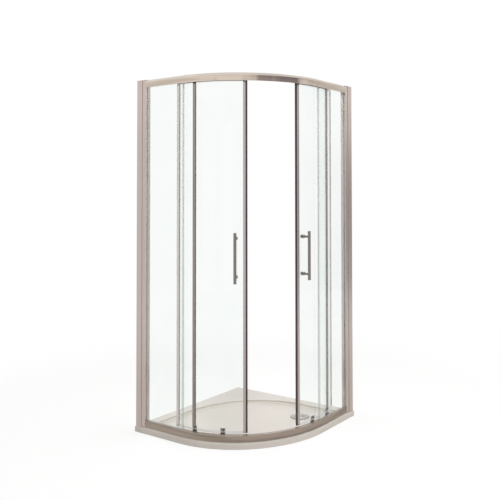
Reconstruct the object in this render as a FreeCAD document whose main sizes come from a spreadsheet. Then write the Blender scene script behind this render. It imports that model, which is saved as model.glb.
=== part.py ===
import FreeCAD, Part

# Quadrant shower enclosure: a low quadrant tray with a waste, two fixed glass
# panes between wall posts, and two curved sliding doors that hang on rollers in
# the top rail and are guided by blocks on the bottom rail.
#
# Frame: millimetres, +Z up, origin at the middle of the tray's underside. The
# walls stand at x = -half and y = +half. The curved front faces +X and -Y, and
# its arc has its centre at (centre_x, centre_y). An inset is a distance inwards
# from the tray's outer edge, so on the arc a radius is tray_radius minus inset.

import math
import os
from types import SimpleNamespace

import Sketcher
from FreeCAD import Placement, Rotation, Vector

SIZES = (
    # alias, value, what it is
    ("tray_width", 900.0, "side of the square that the tray fills"),
    ("tray_radius", 550.0, "radius of the tray's curved front"),
    ("tray_height", 30.0, "floor to the tray's rim"),
    ("tray_edge_round", 5.0, "rounding of the tray's upper outer edge"),
    ("basin_depth", 14.0, "rim down to the basin floor"),
    ("basin_wall_rim", 65.0, "rim width along the two walls"),
    ("basin_front_rim", 56.0, "rim width along the front"),
    ("basin_back_radius", 500.0, "basin corner below the wall corner"),
    ("basin_side_radius", 60.0, "basin corners beside the posts"),
    ("basin_floor_round", 8.0, "rounding where basin wall meets floor"),
    ("waste_x", 218.0, "waste centre"),
    ("waste_y", 215.0, "waste centre"),
    ("waste_bore_radius", 41.0, "clear bore of the waste flange"),
    ("waste_wall", 3.0, "wall of the flange's tube"),
    ("waste_rim_radius", 56.0, "outer radius of the flange's rim"),
    ("waste_rim_rise", 2.5, "thickness of the flange's rim"),
    ("waste_rim_bevel", 1.0, "sloping edge of the flange's rim"),
    ("waste_proud", 0.5, "flange's rim above the basin floor"),
    ("waste_play", 1.0, "gap round the flange in the tray"),
    ("waste_foot", 1.0, "tube end above the floor"),
    ("cover_radius", 51.0, "waste cover"),
    ("cover_rise", 4.0, "height of the cover's crown above the flange"),
    ("cover_seat", 8.0, "width of the ring that the cover rests on"),
    ("cover_slot_length", 26.0, "one slot of the cover"),
    ("cover_slot_width", 5.0, "one slot of the cover"),
    ("cover_slot_start", 12.0, "slot's inner end from the cover's middle"),
    ("cover_slot_count", 8, "slots round the cover"),
    ("frame_inset", 8.0, "tray edge to the frame's outer face"),
    ("frame_depth", 40.0, "frame's outer face to its inner face"),
    ("frame_height", 1950.0, "tray rim to the frame's top"),
    ("profile_reach", 40.0, "wall profile along the pane"),
    ("profile_wall", 2.0, "wall of the profile and the post"),
    ("post_start", 8.0, "post's hidden end from the wall"),
    ("post_reach", 70.0, "post's visible end from the wall"),
    ("post_play", 0.4, "gap between post and wall profile"),
    ("post_groove_depth", 12.0, "glass groove in the post"),
    ("cap_height", 2.0, "cap over profile and post"),
    ("cap_round", 1.6, "rounding of the cap's outer edge"),
    ("rail_height", 45.0, "top rail"),
    ("sill_height", 40.0, "bottom rail"),
    ("rail_wall", 2.5, "wall of both rails"),
    ("rail_round", 8.0, "rounded upper outer edge of the top rail"),
    ("sill_round", 5.0, "rounded upper outer edge of the bottom rail"),
    ("glass_thickness", 6.0, "all panes"),
    ("pane_inset", 22.0, "tray edge to the fixed pane's middle"),
    ("groove_width", 10.0, "glass groove with its gaskets"),
    ("sill_groove_depth", 12.0, "glass groove in the bottom rail"),
    ("pane_lift", 2.0, "gasket under the fixed pane"),
    ("pane_cover", 30.0, "fixed pane's edge inside the top rail"),
    ("slot_rib_drop", 35.0, "glass slot's ribs below the top rail's top"),
    ("sill_shelf", 12.0, "height of the bottom rail's inner shelf"),
    ("sill_lip", 4.0, "lip at the shelf's inner edge"),
    ("track_width", 5.5, "roller track, out from the slot's rib"),
    ("track_thickness", 2.0, "roller track"),
    ("track_drop", 23.5, "top rail's top down to the track"),
    ("edge_seal_width", 8.0, "seal on the fixed pane's free edge"),
    ("edge_seal_fin", 4.8, "fin that reaches towards the door"),
    ("door_inset", 38.0, "tray edge to the door glass's middle"),
    ("door_angle", 47.4, "arc of one door, in degrees"),
    ("left_lead_angle", -49.5, "left door's leading edge at rest, degrees from +X"),
    ("right_lead_angle", -18.8, "right door's leading edge at rest, degrees from +X"),
    ("door_bottom", 78.0, "door glass above the floor"),
    ("header_height", 14.0, "profile on the door glass's upper edge"),
    ("header_drop", 29.0, "frame's top down to the header's top"),
    ("header_wall", 2.0, "wall of the header"),
    ("slot_play", 0.2, "gap between glass and a door profile"),
    ("meeting_gap", 0.6, "half of the gap between the closed doors"),
    ("seal_play", 0.05, "least gap between magnetic seal and leading profile"),
    ("magnet_width", 9.0, "magnetic seal"),
    ("magnet_depth", 9.0, "magnetic seal across the glass"),
    ("lead_width", 14.0, "leading profile"),
    ("lead_depth", 12.0, "leading profile across the glass"),
    ("trail_width", 20.0, "trailing profile"),
    ("trail_depth", 11.0, "trailing profile across the glass"),
    ("clip_web", 4.0, "web of the leading and trailing profiles"),
    ("clip_round", 2.0, "rounded corners of the leading profile"),
    ("stile_angle", 33.5, "leading edge to the rear stile, degrees"),
    ("stile_width", 16.0, "rear stile"),
    ("stile_thickness", 3.0, "one strip of the rear stile"),
    ("bond_line", 0.1, "adhesive under the stile's strips"),
    ("stile_gap", 1.0, "rear guide's top to the stile"),
    ("drip_height", 12.0, "seal on the door glass's lower edge"),
    ("drip_wall", 1.1, "wall of that seal"),
    ("drip_fin", 3.5, "fin below that seal"),
    ("drip_shoulder", 3.0, "glass's lower edge to that seal's underside"),
    ("guide_angle", 14.9, "leading edge to the front guide, degrees"),
    ("guide_length", 25.0, "guide block along the rail"),
    ("guide_plate", 4.0, "guide's upright plate"),
    ("guide_top", 96.0, "guide's top above the floor"),
    ("guide_bottom", 50.0, "guide's underside above the floor"),
    ("guide_foot", 19.0, "height of the guide's foot"),
    ("guide_play", 0.8, "guide's foot to the rail's rib"),
    ("guide_bevel", 2.0, "sloping edge of the guide's foot"),
    ("guide_seal_gap", 0.3, "guide's plate to the lower seal"),
    ("guide_hole_play", 0.5, "glass around the guide screw"),
    ("guide_screw_height", 90.0, "guide screw above the floor"),
    ("guide_screw_radius", 3.0, "guide screw's shank"),
    ("guide_cap_radius", 5.5, "guide screw's head"),
    ("roller_angle", 5.5, "leading edge to the front roller, degrees"),
    ("roller_radius", 9.2, "roller"),
    ("roller_width", 4.4, "roller"),
    ("roller_gap", 0.3, "roller above the track and beside the axle's collars"),
    ("roller_offset", 1.2, "roller out from the hanger's plate"),
    ("roller_bevel", 0.8, "sloping edges of the tread"),
    ("hanger_plate", 3.0, "hanger's upright plate"),
    ("hanger_length", 30.0, "hanger along the door"),
    ("hanger_foot", 2.0, "hanger's foot on the header"),
    ("hanger_heel", 3.0, "hanger's foot inside its plate"),
    ("hanger_toe", 2.5, "hanger's foot outside its plate"),
    ("hanger_drop", 1.0, "roller's top down to the plate's top"),
    ("hanger_offset", 0.5, "plate's middle outside the glass's middle"),
    ("axle_radius", 2.5, "roller axle"),
    ("axle_play", 0.06, "roller bore around its axle"),
    ("axle_head_radius", 4.0, "axle's outer head"),
    ("axle_head", 0.4, "axle's outer head"),
    ("handle_angle", 7.0, "leading edge to the handle, degrees"),
    ("handle_height", 994.0, "handle's middle above the floor"),
    ("handle_length", 268.0, "handle bar"),
    ("handle_radius", 8.0, "handle bar"),
    ("handle_round", 2.5, "rounding of the bar's ends"),
    ("handle_spacing", 205.0, "between the two posts"),
    ("handle_reach", 38.0, "glass's outer face to the bar's middle"),
    ("handle_post_radius", 6.0, "post"),
    ("handle_screw_radius", 3.5, "threaded shank through the glass"),
    ("handle_hole_radius", 5.0, "hole in the glass"),
    ("washer_radius", 11.0, "washers on both faces"),
    ("washer_thickness", 1.5, "one washer"),
    ("face_play", 0.15, "gap between the curved glass and a flat piece on its hollow side"),
    ("knob_radius", 10.0, "inner knob"),
    ("knob_length", 17.0, "inner knob"),
    ("knob_round", 2.0, "rounding of the knob's free edge"),
    ("wall_hole_radius", 2.6, "holes for the wall screws"),
    ("wall_hole_spacing", 800.0, "between the wall screw holes"),
    ("screw_radius", 2.0, "frame screws"),
    ("screw_play", 0.1, "holes around the frame screws"),
    ("screw_head_radius", 4.2, "frame screws"),
    ("screw_head", 2.0, "frame screws"),
    ("screw_length", 7.0, "frame screws under the head"),
    ("adjuster_spacing", 700.0, "between the adjuster screws"),
    ("adjuster_inset", 24.0, "adjuster screws from the wall"),
    ("adjuster_shift", 40.0, "middle adjuster screw above the middle wall screw"),
    ("bracket_arm", 28.0, "rail bracket along the rail"),
    ("bracket_rise", 18.0, "rail bracket up the post"),
    ("bracket_width", 14.0, "rail bracket"),
    ("bracket_wall", 2.5, "rail bracket"),
    ("bracket_gap", 1.0, "bracket to the glass slot's rib"),
    ("stop_length", 10.0, "door stop on the track"),
    ("stop_height", 9.0, "door stop on the track"),
    ("stop_offset", 30.0, "door stop from the post"),
)

LEFT = -1
RIGHT = 1
PAST = 1.0  # how far a cutting tool runs past what it cuts, at each end
NEAR = 1.0  # how far an edge may lie from a face to count as on it
SIDE_NAMES = {LEFT: "left", RIGHT: "right"}
BAD_STATES = ("Invalid", "Error")


class Size:
    """A length or an angle: its value now and its formula over the sheet's cells."""

    def __init__(self, value, formula):
        self.value = float(value)
        self.formula = formula

    @staticmethod
    def of(other):
        return other if isinstance(other, Size) else Size(other, "(%r)" % other)

    def _with(self, other, value, sign):
        return Size(value, "(%s %s %s)" % (self.formula, sign, Size.of(other).formula))

    def __add__(self, other):
        return self._with(other, self.value + Size.of(other).value, "+")

    def __sub__(self, other):
        return self._with(other, self.value - Size.of(other).value, "-")

    def __mul__(self, other):
        return self._with(other, self.value * Size.of(other).value, "*")

    def __truediv__(self, other):
        return self._with(other, self.value / Size.of(other).value, "/")

    def __radd__(self, other):
        return Size.of(other) + self

    def __rsub__(self, other):
        return Size.of(other) - self

    def __rmul__(self, other):
        return Size.of(other) * self

    def __neg__(self):
        return Size.of(0) - self


class Corner:
    """A corner of an outline, reached by a line or by an arc about a centre."""

    def __init__(self, x, y, centre=None, radius=None, clockwise=False):
        self.x = Size.of(x)
        self.y = Size.of(y)
        self.centre = centre
        self.radius = radius
        self.clockwise = clockwise

    def point(self):
        return Vector(self.x.value, self.y.value, 0)


def make_sheet(doc):
    """Fill the spreadsheet and return its cells as sizes, by alias."""
    sheet = doc.addObject("Spreadsheet::Sheet", "Sizes")
    cells = SimpleNamespace()
    for row, (alias, value, meaning) in enumerate(SIZES, start=1):
        sheet.set("A%d" % row, meaning)
        sheet.set("B%d" % row, str(value))
        sheet.setAlias("B%d" % row, alias)
        setattr(cells, alias, Size(value, "Sizes.%s" % alias))
    return cells


DOC = FreeCAD.newDocument("QuadrantEnclosure")
C = make_sheet(DOC)
DOC.recompute()

# Places that several pieces share.
HALF = C.tray_width / 2
CENTRE_X = HALF - C.tray_radius
CENTRE_Y = -CENTRE_X
FRAME_TOP = C.tray_height + C.frame_height
SILL_TOP = C.tray_height + C.sill_height
BASIN_FLOOR = C.tray_height - C.basin_depth
FLANGE_SEAT = BASIN_FLOOR - C.waste_rim_rise + C.waste_proud
FLANGE_TOP = FLANGE_SEAT + C.waste_rim_rise
RAIL_END = C.post_reach - HALF
GROOVE_OUT = C.pane_inset - C.groove_width / 2
GROOVE_IN = C.pane_inset + C.groove_width / 2
RIB_OUT = GROOVE_OUT - C.rail_wall
RIB_IN = GROOVE_IN + C.rail_wall
FRAME_IN = C.frame_inset + C.frame_depth
SLOT_BOTTOM = FRAME_TOP - C.slot_rib_drop
PANE_BOTTOM = SILL_TOP - C.sill_groove_depth + C.pane_lift
PANE_TOP = FRAME_TOP - C.rail_height + C.pane_cover
PANE_START = RAIL_END - C.post_groove_depth + C.pane_lift
TRACK_TOP = FRAME_TOP - C.track_drop
SHELF_TOP = C.tray_height + C.sill_shelf
DOOR_RADIUS = C.tray_radius - C.door_inset
GLASS_IN = DOOR_RADIUS - C.glass_thickness / 2
GLASS_OUT = DOOR_RADIUS + C.glass_thickness / 2
RIB_RADIUS = C.tray_radius - RIB_IN
HEADER_TOP = FRAME_TOP - C.header_drop
HEADER_BOTTOM = HEADER_TOP - C.header_height
DOOR_TOP = HEADER_TOP - C.header_wall - C.slot_play
ROLLER_Z = TRACK_TOP + C.roller_gap + C.roller_radius
HANGER_IN = DOOR_RADIUS + C.hanger_offset - C.hanger_plate / 2
HANGER_OUT = HANGER_IN + C.hanger_plate
ROLLER_IN = HANGER_OUT + C.roller_offset
HANDLE_BAR = GLASS_OUT + C.handle_reach
LEAD_ANGLES = {LEFT: C.left_lead_angle, RIGHT: C.right_lead_angle}

DEGREES = Size(180 / math.pi, "(180 / pi)")


def arc_degrees(length, radius):
    """The angle in degrees of a length along a circle."""
    return length / radius * DEGREES


# ---------------------------------------------------------------- tools

def bind(obj, name, size):
    """Set a property and tie it to the sheet."""
    size = Size.of(size)
    setattr(obj, name, size.value)
    obj.setExpression(name, size.formula)


def place(obj, x=0, y=0, z=0, axis=(0, 0, 1), angle=0):
    """Tie an object's placement to the sheet."""
    where = "; ".join(Size.of(value).formula for value in (x, y, z))
    about = "; ".join(str(value) for value in axis)
    obj.setExpression(
        "Placement",
        "create(<<placement>>; create(<<vector>>; %s); "
        "create(<<rotation>>; create(<<vector>>; %s); %s))" % (where, about, Size.of(angle).formula),
    )


def place_on_door(obj, side, angle, z=0):
    """Turn a door piece about the arc's centre, by an angle back from the door's leading edge."""
    place(obj, CENTRE_X, CENTRE_Y, z, angle=LEAD_ANGLES[side] + side * Size.of(angle))


def new_body(label):
    body = DOC.addObject("PartDesign::Body", label)
    body.Label = label
    return body


def sketch_on(body, role, offset=0):
    """Start a sketch on one of the body's own origin planes."""
    sketch = body.newObject("Sketcher::SketchObject", body.Name + "_sketch")
    plane = [item for item in body.Origin.OriginFeatures if item.Role == role][0]
    sketch.AttachmentSupport = [(plane, "")]
    sketch.MapMode = "FlatFace"
    offset = Size.of(offset)
    sketch.AttachmentOffset = Placement(Vector(0, 0, offset.value), Rotation())
    sketch.setExpression("AttachmentOffset.Base.z", offset.formula)
    return sketch


def fix_point(sketch, edge, point, corner):
    """Hold one end of an edge at the place that the sheet gives."""
    for kind, size in (("DistanceX", corner.x), ("DistanceY", corner.y)):
        number = sketch.addConstraint(Sketcher.Constraint(kind, -1, 1, edge, point, size.value))
        sketch.setExpression("Constraints[%d]" % number, size.formula)


def fix_radius(sketch, edge, radius):
    number = sketch.addConstraint(Sketcher.Constraint("Radius", edge, radius.value))
    sketch.setExpression("Constraints[%d]" % number, radius.formula)


def add_edge(sketch, here, there):
    """Draw one line or arc and return the edge with its first and last point numbers."""
    start, end = here.point(), there.point()
    if there.centre is None:
        return sketch.addGeometry(Part.LineSegment(start, end), False), 1, 2
    centre = Vector(Size.of(there.centre[0]).value, Size.of(there.centre[1]).value, 0)
    circle = Part.Circle(centre, Vector(0, 0, 1), there.radius.value)
    first = math.atan2(start.y - centre.y, start.x - centre.x)
    last = math.atan2(end.y - centre.y, end.x - centre.x)
    if there.clockwise:
        first, last = last, first
    if last < first:
        last += 2 * math.pi
    edge = sketch.addGeometry(Part.ArcOfCircle(circle, first, last), False)
    fix_radius(sketch, edge, there.radius)
    return (edge, 2, 1) if there.clockwise else (edge, 1, 2)


def draw(sketch, corners, closed=True):
    """Draw an outline or an open path through the corners."""
    corners = [item if isinstance(item, Corner) else Corner(*item) for item in corners]
    pairs = list(zip(corners, corners[1:]))
    if closed:
        pairs.append((corners[-1], corners[0]))
    edges = [add_edge(sketch, here, there) for here, there in pairs]
    for (edge, _, last), (following, first, _) in zip(edges, edges[1:]):
        sketch.addConstraint(Sketcher.Constraint("Coincident", edge, last, following, first))
    if closed:
        sketch.addConstraint(
            Sketcher.Constraint("Coincident", edges[-1][0], edges[-1][2], edges[0][0], edges[0][1]))
    else:
        fix_point(sketch, edges[-1][0], edges[-1][2], corners[-1])
    for (edge, first, _), corner in zip(edges, corners):
        fix_point(sketch, edge, first, corner)
    return sketch


def draw_circle(sketch, x, y, radius):
    circle = Part.Circle(Vector(Size.of(x).value, Size.of(y).value, 0), Vector(0, 0, 1), radius.value)
    edge = sketch.addGeometry(circle, False)
    fix_point(sketch, edge, 3, Corner(x, y))
    fix_radius(sketch, edge, radius)
    return sketch


def pad(body, sketch, length, midplane=False):
    feature = body.newObject("PartDesign::Pad", body.Name + "_pad")
    feature.Profile = sketch
    feature.Midplane = midplane
    bind(feature, "Length", length)
    return feature


def pocket(body, sketch, length):
    feature = body.newObject("PartDesign::Pocket", body.Name + "_pocket")
    feature.Profile = sketch
    bind(feature, "Length", length)
    return feature


def revolve(body, sketch, axis="V_Axis", angle=360, backwards=False):
    feature = body.newObject("PartDesign::Revolution", body.Name + "_turn")
    feature.Profile = sketch
    feature.ReferenceAxis = (sketch, [axis])
    feature.Reversed = backwards
    bind(feature, "Angle", angle)
    return feature


def cylinder(name, radius, height, at, along="z"):
    """A cylinder that starts at a point and runs along one positive axis."""
    turns = {"x": ((0, 1, 0), 90), "y": ((1, 0, 0), -90), "z": ((0, 0, 1), 0)}
    item = DOC.addObject("Part::Cylinder", name)
    bind(item, "Radius", radius)
    bind(item, "Height", height)
    axis, angle = turns[along]
    place(item, *at, axis=axis, angle=angle)
    return item


def box(name, low, high):
    """A box between two corners."""
    low = [Size.of(value) for value in low]
    high = [Size.of(value) for value in high]
    item = DOC.addObject("Part::Box", name)
    for side, start, end in zip(("Length", "Width", "Height"), low, high):
        bind(item, side, end - start)
    place(item, *low)
    return item


def cut(label, base, tools):
    """Cut tools out of a base."""
    tool = tools[0]
    if len(tools) > 1:
        tool = DOC.addObject("Part::MultiFuse", label + "_tools")
        tool.Shapes = tools
    item = DOC.addObject("Part::Cut", label)
    item.Base = base
    item.Tool = tool
    item.Label = label
    return item


def fuse(label, shapes):
    item = DOC.addObject("Part::MultiFuse", label)
    item.Shapes = shapes
    item.Label = label
    return item


def group(label, shapes):
    """Separate solids that share one node."""
    item = DOC.addObject("Part::Compound", label)
    item.Links = shapes
    item.Label = label
    return item


def mirrored(label, source):
    """The twin of a piece, across the upright plane through the corner and the arc's middle."""
    item = DOC.addObject("Part::Mirroring", label)
    item.Source = source
    item.Normal = Vector(1, 1, 0)
    item.Label = label
    return item


def screw(name, at, along, head_first=True):
    """A pan-head screw whose head starts at a point; the shank runs on along the axis."""
    step = {"x": (1, 0, 0), "y": (0, 1, 0), "z": (0, 0, 1)}[along]
    head_at = at if head_first else shift(at, step, C.screw_length)
    shank_at = shift(at, step, C.screw_head) if head_first else at
    head = cylinder(name + "_head", C.screw_head_radius, C.screw_head, head_at, along)
    shank = cylinder(name + "_shank", C.screw_radius, C.screw_length, shank_at, along)
    return fuse(name, [head, shank])


def shift(at, step, distance):
    return tuple(Size.of(value) + part * distance for value, part in zip(at, step))


def front_y(inset):
    """The y of the left straight run at an inset from the tray's edge."""
    return inset - HALF


# ---------------------------------------------------------------- tray and waste

def tray_outline():
    return [
        (-HALF, -HALF),
        (CENTRE_X, -HALF),
        Corner(HALF, CENTRE_Y, (CENTRE_X, CENTRE_Y), C.tray_radius),
        (HALF, HALF),
        (-HALF, HALF),
    ]


def round_edges(body, feature, radius, wanted):
    """Round the edges of a feature that pass a test."""
    DOC.recompute()
    names = ["Edge%d" % number for number, edge in enumerate(feature.Shape.Edges, start=1) if wanted(edge)]
    fillet = body.newObject("PartDesign::Fillet", body.Name + "_round")
    fillet.Base = (feature, names)
    bind(fillet, "Radius", radius)
    return fillet


def lies_at(edge, height):
    box_of_edge = edge.BoundBox
    return abs(box_of_edge.ZMin - height) < 1e-4 and abs(box_of_edge.ZMax - height) < 1e-4


def in_basin(edge):
    """True for an edge of the basin: it stays inside the tray's outer square."""
    limit = HALF.value - NEAR
    bounds = edge.BoundBox
    return bounds.XMin > -limit and bounds.XMax < limit and bounds.YMin > -limit and bounds.YMax < limit


def make_tray():
    body = new_body("shower_tray")
    slab = pad(body, draw(sketch_on(body, "XY_Plane"), tray_outline()), C.tray_height)
    rim = round_edges(body, slab, C.tray_edge_round,
                      lambda edge: lies_at(edge, C.tray_height.value) and not at_a_wall(edge))
    basin_sketch = draw_basin(sketch_on(body, "XY_Plane", C.tray_height))
    basin = pocket(body, basin_sketch, C.basin_depth)
    round_edges(body, basin, C.basin_floor_round,
                lambda edge: lies_at(edge, BASIN_FLOOR.value) and in_basin(edge))
    seat = draw_circle(sketch_on(body, "XY_Plane", BASIN_FLOOR), C.waste_x, C.waste_y,
                       C.waste_rim_radius + C.waste_play)
    pocket(body, seat, BASIN_FLOOR - FLANGE_SEAT)
    hole = draw_circle(sketch_on(body, "XY_Plane", BASIN_FLOOR), C.waste_x, C.waste_y,
                       C.waste_bore_radius + C.waste_wall + C.waste_play)
    pocket(body, hole, BASIN_FLOOR)
    return body


def at_a_wall(edge):
    """True for an edge of the tray that stands against a wall."""
    bounds = edge.BoundBox
    return bounds.XMax < NEAR - HALF.value or bounds.YMin > HALF.value - NEAR


def draw_basin(sketch):
    """The basin's closed outline; its last corner arc ends where the outline starts."""
    wall = HALF - C.basin_wall_rim
    front = HALF - C.basin_front_rim
    side = C.basin_side_radius
    back = C.basin_back_radius
    corners = [
        Corner(side - wall, -front, (side - wall, side - front), side),
        Corner(CENTRE_X, -front),
        Corner(front, CENTRE_Y, (CENTRE_X, CENTRE_Y), C.tray_radius - C.basin_front_rim),
        Corner(front, wall - side),
        Corner(front - side, wall, (front - side, wall - side), side),
        Corner(back - wall, wall),
        Corner(-wall, wall - back, (back - wall, wall - back), back),
        Corner(-wall, side - front),
    ]
    return draw(sketch, corners)


def make_waste():
    flange = new_body("waste_flange")
    bore = C.waste_bore_radius
    tube = bore + C.waste_wall
    draw_and_turn(flange, [
        (bore, C.waste_foot), (tube, C.waste_foot), (tube, FLANGE_SEAT),
        (C.waste_rim_radius, FLANGE_SEAT), (C.waste_rim_radius, FLANGE_TOP - C.waste_rim_bevel),
        (C.waste_rim_radius - C.waste_rim_bevel * 2, FLANGE_TOP), (bore, FLANGE_TOP),
    ])
    place(flange, C.waste_x, C.waste_y)

    cover = new_body("waste_cover")
    inner = C.cover_radius - C.cover_seat
    draw_and_turn(cover, [
        (0, FLANGE_TOP + C.cover_rise / 2), (inner, FLANGE_TOP + C.cover_rise / 4),
        (inner, FLANGE_TOP), (C.cover_radius, FLANGE_TOP),
        (C.cover_radius, FLANGE_TOP + C.cover_rise / 4),
        (C.cover_radius - C.cover_seat / 2, FLANGE_TOP + C.cover_rise * 3 / 4),
        (0, FLANGE_TOP + C.cover_rise),
    ])
    slot_sketch = sketch_on(cover, "XY_Plane", FLANGE_TOP + C.cover_rise + PAST)
    slot_end = C.cover_slot_start + C.cover_slot_length
    slot_half = C.cover_slot_width / 2
    draw(slot_sketch, [
        (C.cover_slot_start, -slot_half), (slot_end, -slot_half),
        (slot_end, slot_half), (C.cover_slot_start, slot_half),
    ])
    slot = pocket(cover, slot_sketch, C.cover_rise + PAST)
    ring = cover.newObject("PartDesign::PolarPattern", "cover_slots")
    ring.Originals = [slot]
    ring.Axis = (slot_sketch, ["N_Axis"])
    ring.Angle = 360
    ring.Occurrences = int(C.cover_slot_count.value)
    ring.setExpression("Occurrences", C.cover_slot_count.formula)
    cover.Tip = ring
    place(cover, C.waste_x, C.waste_y)
    return [flange, cover]


def draw_and_turn(body, corners, **options):
    """Turn a section, drawn as radius and height, about the body's upright axis."""
    return revolve(body, draw(sketch_on(body, "XZ_Plane"), corners), **options)


# ---------------------------------------------------------------- fixed frame

def wall_holes():
    """Clearance holes for the three wall screws of the left profile."""
    middle = C.tray_height + C.frame_height / 2
    heights = (middle - C.wall_hole_spacing, middle, middle + C.wall_hole_spacing)
    return [
        cylinder("wall_hole_%d" % number, C.wall_hole_radius, C.profile_wall + 2 * PAST,
                 (-PAST - HALF, front_y(C.frame_inset + C.frame_depth / 2), height), "x")
        for number, height in enumerate(heights, start=1)
    ]


def adjuster_heights():
    middle = C.tray_height + C.frame_height / 2
    return (middle - C.adjuster_spacing, middle + C.adjuster_shift, middle + C.adjuster_spacing)


def adjuster_holes(name):
    """Holes for the screws that lock the left post in the wall profile."""
    through = C.profile_wall * 2 + C.post_play + 2 * PAST
    return [
        cylinder("%s_%d" % (name, number), C.screw_radius + C.screw_play, through,
                 (C.adjuster_inset - HALF, front_y(FRAME_IN) + PAST - through, height), "y")
        for number, height in enumerate(adjuster_heights(), start=1)
    ]


def bracket_screw_heights():
    """Heights of the screws that tie the lower and upper bracket to the left post."""
    rise = C.bracket_rise / 2
    return (SHELF_TOP + rise + C.bracket_wall / 2, FRAME_TOP - C.rail_wall - rise - C.bracket_wall / 2)


def bracket_screw_y():
    return front_y(RIB_IN + C.bracket_gap + C.bracket_width / 2)


def bracket_holes(name):
    return [
        cylinder("%s_%d" % (name, number), C.screw_radius + C.screw_play, C.screw_length + 2 * PAST,
                 (RAIL_END + C.bracket_wall - C.screw_length - PAST, bracket_screw_y(), height), "x")
        for number, height in enumerate(bracket_screw_heights(), start=1)
    ]


def make_wall_profile():
    """U channel against the left wall."""
    body = new_body("wall_profile_blank")
    out, inner = front_y(C.frame_inset), front_y(FRAME_IN)
    reach, wall = C.profile_reach - HALF, C.profile_wall
    draw_up(body, [
        (-HALF, out), (reach, out), (reach, out + wall), (wall - HALF, out + wall),
        (wall - HALF, inner - wall), (reach, inner - wall), (reach, inner), (-HALF, inner),
    ], C.tray_height, FRAME_TOP - C.cap_height)
    return cut("wall_profile_left", body, wall_holes() + adjuster_holes("profile_screw_hole"))


def draw_up(body, corners, low, high):
    """Raise a plan outline from one height to another."""
    return pad(body, draw(sketch_on(body, "XY_Plane", low), corners), Size.of(high) - low)


def make_side_post():
    """Post that slides in the wall profile and holds the pane in a groove."""
    body = new_body("side_post_blank")
    skin = C.profile_wall + C.post_play
    out, inner = front_y(C.frame_inset) + skin, front_y(FRAME_IN) - skin
    start, groove = C.post_start - HALF, RAIL_END - C.post_groove_depth
    back = groove - C.profile_wall
    wall = C.profile_wall
    draw_up(body, [
        (start, out), (RAIL_END, out),
        (RAIL_END, front_y(GROOVE_OUT)), (groove, front_y(GROOVE_OUT)),
        (groove, front_y(GROOVE_IN)), (RAIL_END, front_y(GROOVE_IN)),
        (RAIL_END, inner), (start, inner),
        (start, inner - wall), (back, inner - wall),
        (back, out + wall), (start, out + wall),
    ], C.tray_height, FRAME_TOP - C.cap_height)
    return cut("side_post_left", body, adjuster_holes("post_screw_hole") + bracket_holes("post_bracket_hole"))


def make_cap():
    cap = box("cap_plate", (-HALF, front_y(C.frame_inset), FRAME_TOP - C.cap_height),
              (RAIL_END, front_y(FRAME_IN), FRAME_TOP))
    rounded = DOC.addObject("Part::Fillet", "profile_cap_left")
    rounded.Base = cap
    edge_number = 1
    DOC.recompute()
    for number, edge in enumerate(cap.Shape.Edges, start=1):
        bounds = edge.BoundBox
        if bounds.YMax < front_y(C.frame_inset).value + 0.1 and bounds.ZMin > FRAME_TOP.value - 0.1:
            edge_number = number
    round_off = C.cap_round.value
    rounded.Edges = [(edge_number, round_off, round_off)]
    rounded.Label = "profile_cap_left"
    return rounded


def swept(label, section):
    """Sweep a section, drawn as inset and height, round the front from post to post."""
    body = new_body(label)
    inset = C.frame_inset
    reach = HALF - inset
    path = draw(sketch_on(body, "XY_Plane"), [
        Corner(RAIL_END, -reach),
        Corner(CENTRE_X, -reach),
        Corner(reach, CENTRE_Y, (CENTRE_X, CENTRE_Y), C.tray_radius - inset),
        Corner(reach, -RAIL_END),
    ], closed=False)
    profile = draw(sketch_on(body, "YZ_Plane", RAIL_END), section)
    pipe = body.newObject("PartDesign::AdditivePipe", label + "_sweep")
    pipe.Profile = profile
    pipe.Spine = (path, ["Edge1", "Edge2", "Edge3"])
    return body


def section_corner(inset, height, centre=None, radius=None, clockwise=False):
    """A corner of a rail's section, given as inset and height."""
    if centre is None:
        return Corner(front_y(inset), height)
    return Corner(front_y(inset), height, (front_y(centre[0]), centre[1]), radius, clockwise)


def make_top_rail():
    out, wall, rounding = C.frame_inset, C.rail_wall, C.rail_round
    roof = FRAME_TOP - wall
    at = section_corner
    return swept("top_rail", [
        at(out, FRAME_TOP - C.rail_height),
        at(out, FRAME_TOP - rounding),
        at(out + rounding, FRAME_TOP, (out + rounding, FRAME_TOP - rounding), rounding, True),
        at(FRAME_IN, FRAME_TOP),
        at(FRAME_IN, roof),
        at(RIB_IN, roof),
        at(RIB_IN, TRACK_TOP),
        at(RIB_IN + C.track_width, TRACK_TOP),
        at(RIB_IN + C.track_width, TRACK_TOP - C.track_thickness),
        at(RIB_IN, TRACK_TOP - C.track_thickness),
        at(RIB_IN, SLOT_BOTTOM),
        at(GROOVE_IN, SLOT_BOTTOM),
        at(GROOVE_IN, roof),
        at(GROOVE_OUT, roof),
        at(GROOVE_OUT, SLOT_BOTTOM),
        at(RIB_OUT, SLOT_BOTTOM),
        at(RIB_OUT, FRAME_TOP - rounding),
        at(out + wall, FRAME_TOP - rounding),
        at(out + wall, FRAME_TOP - C.rail_height),
    ])


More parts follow.
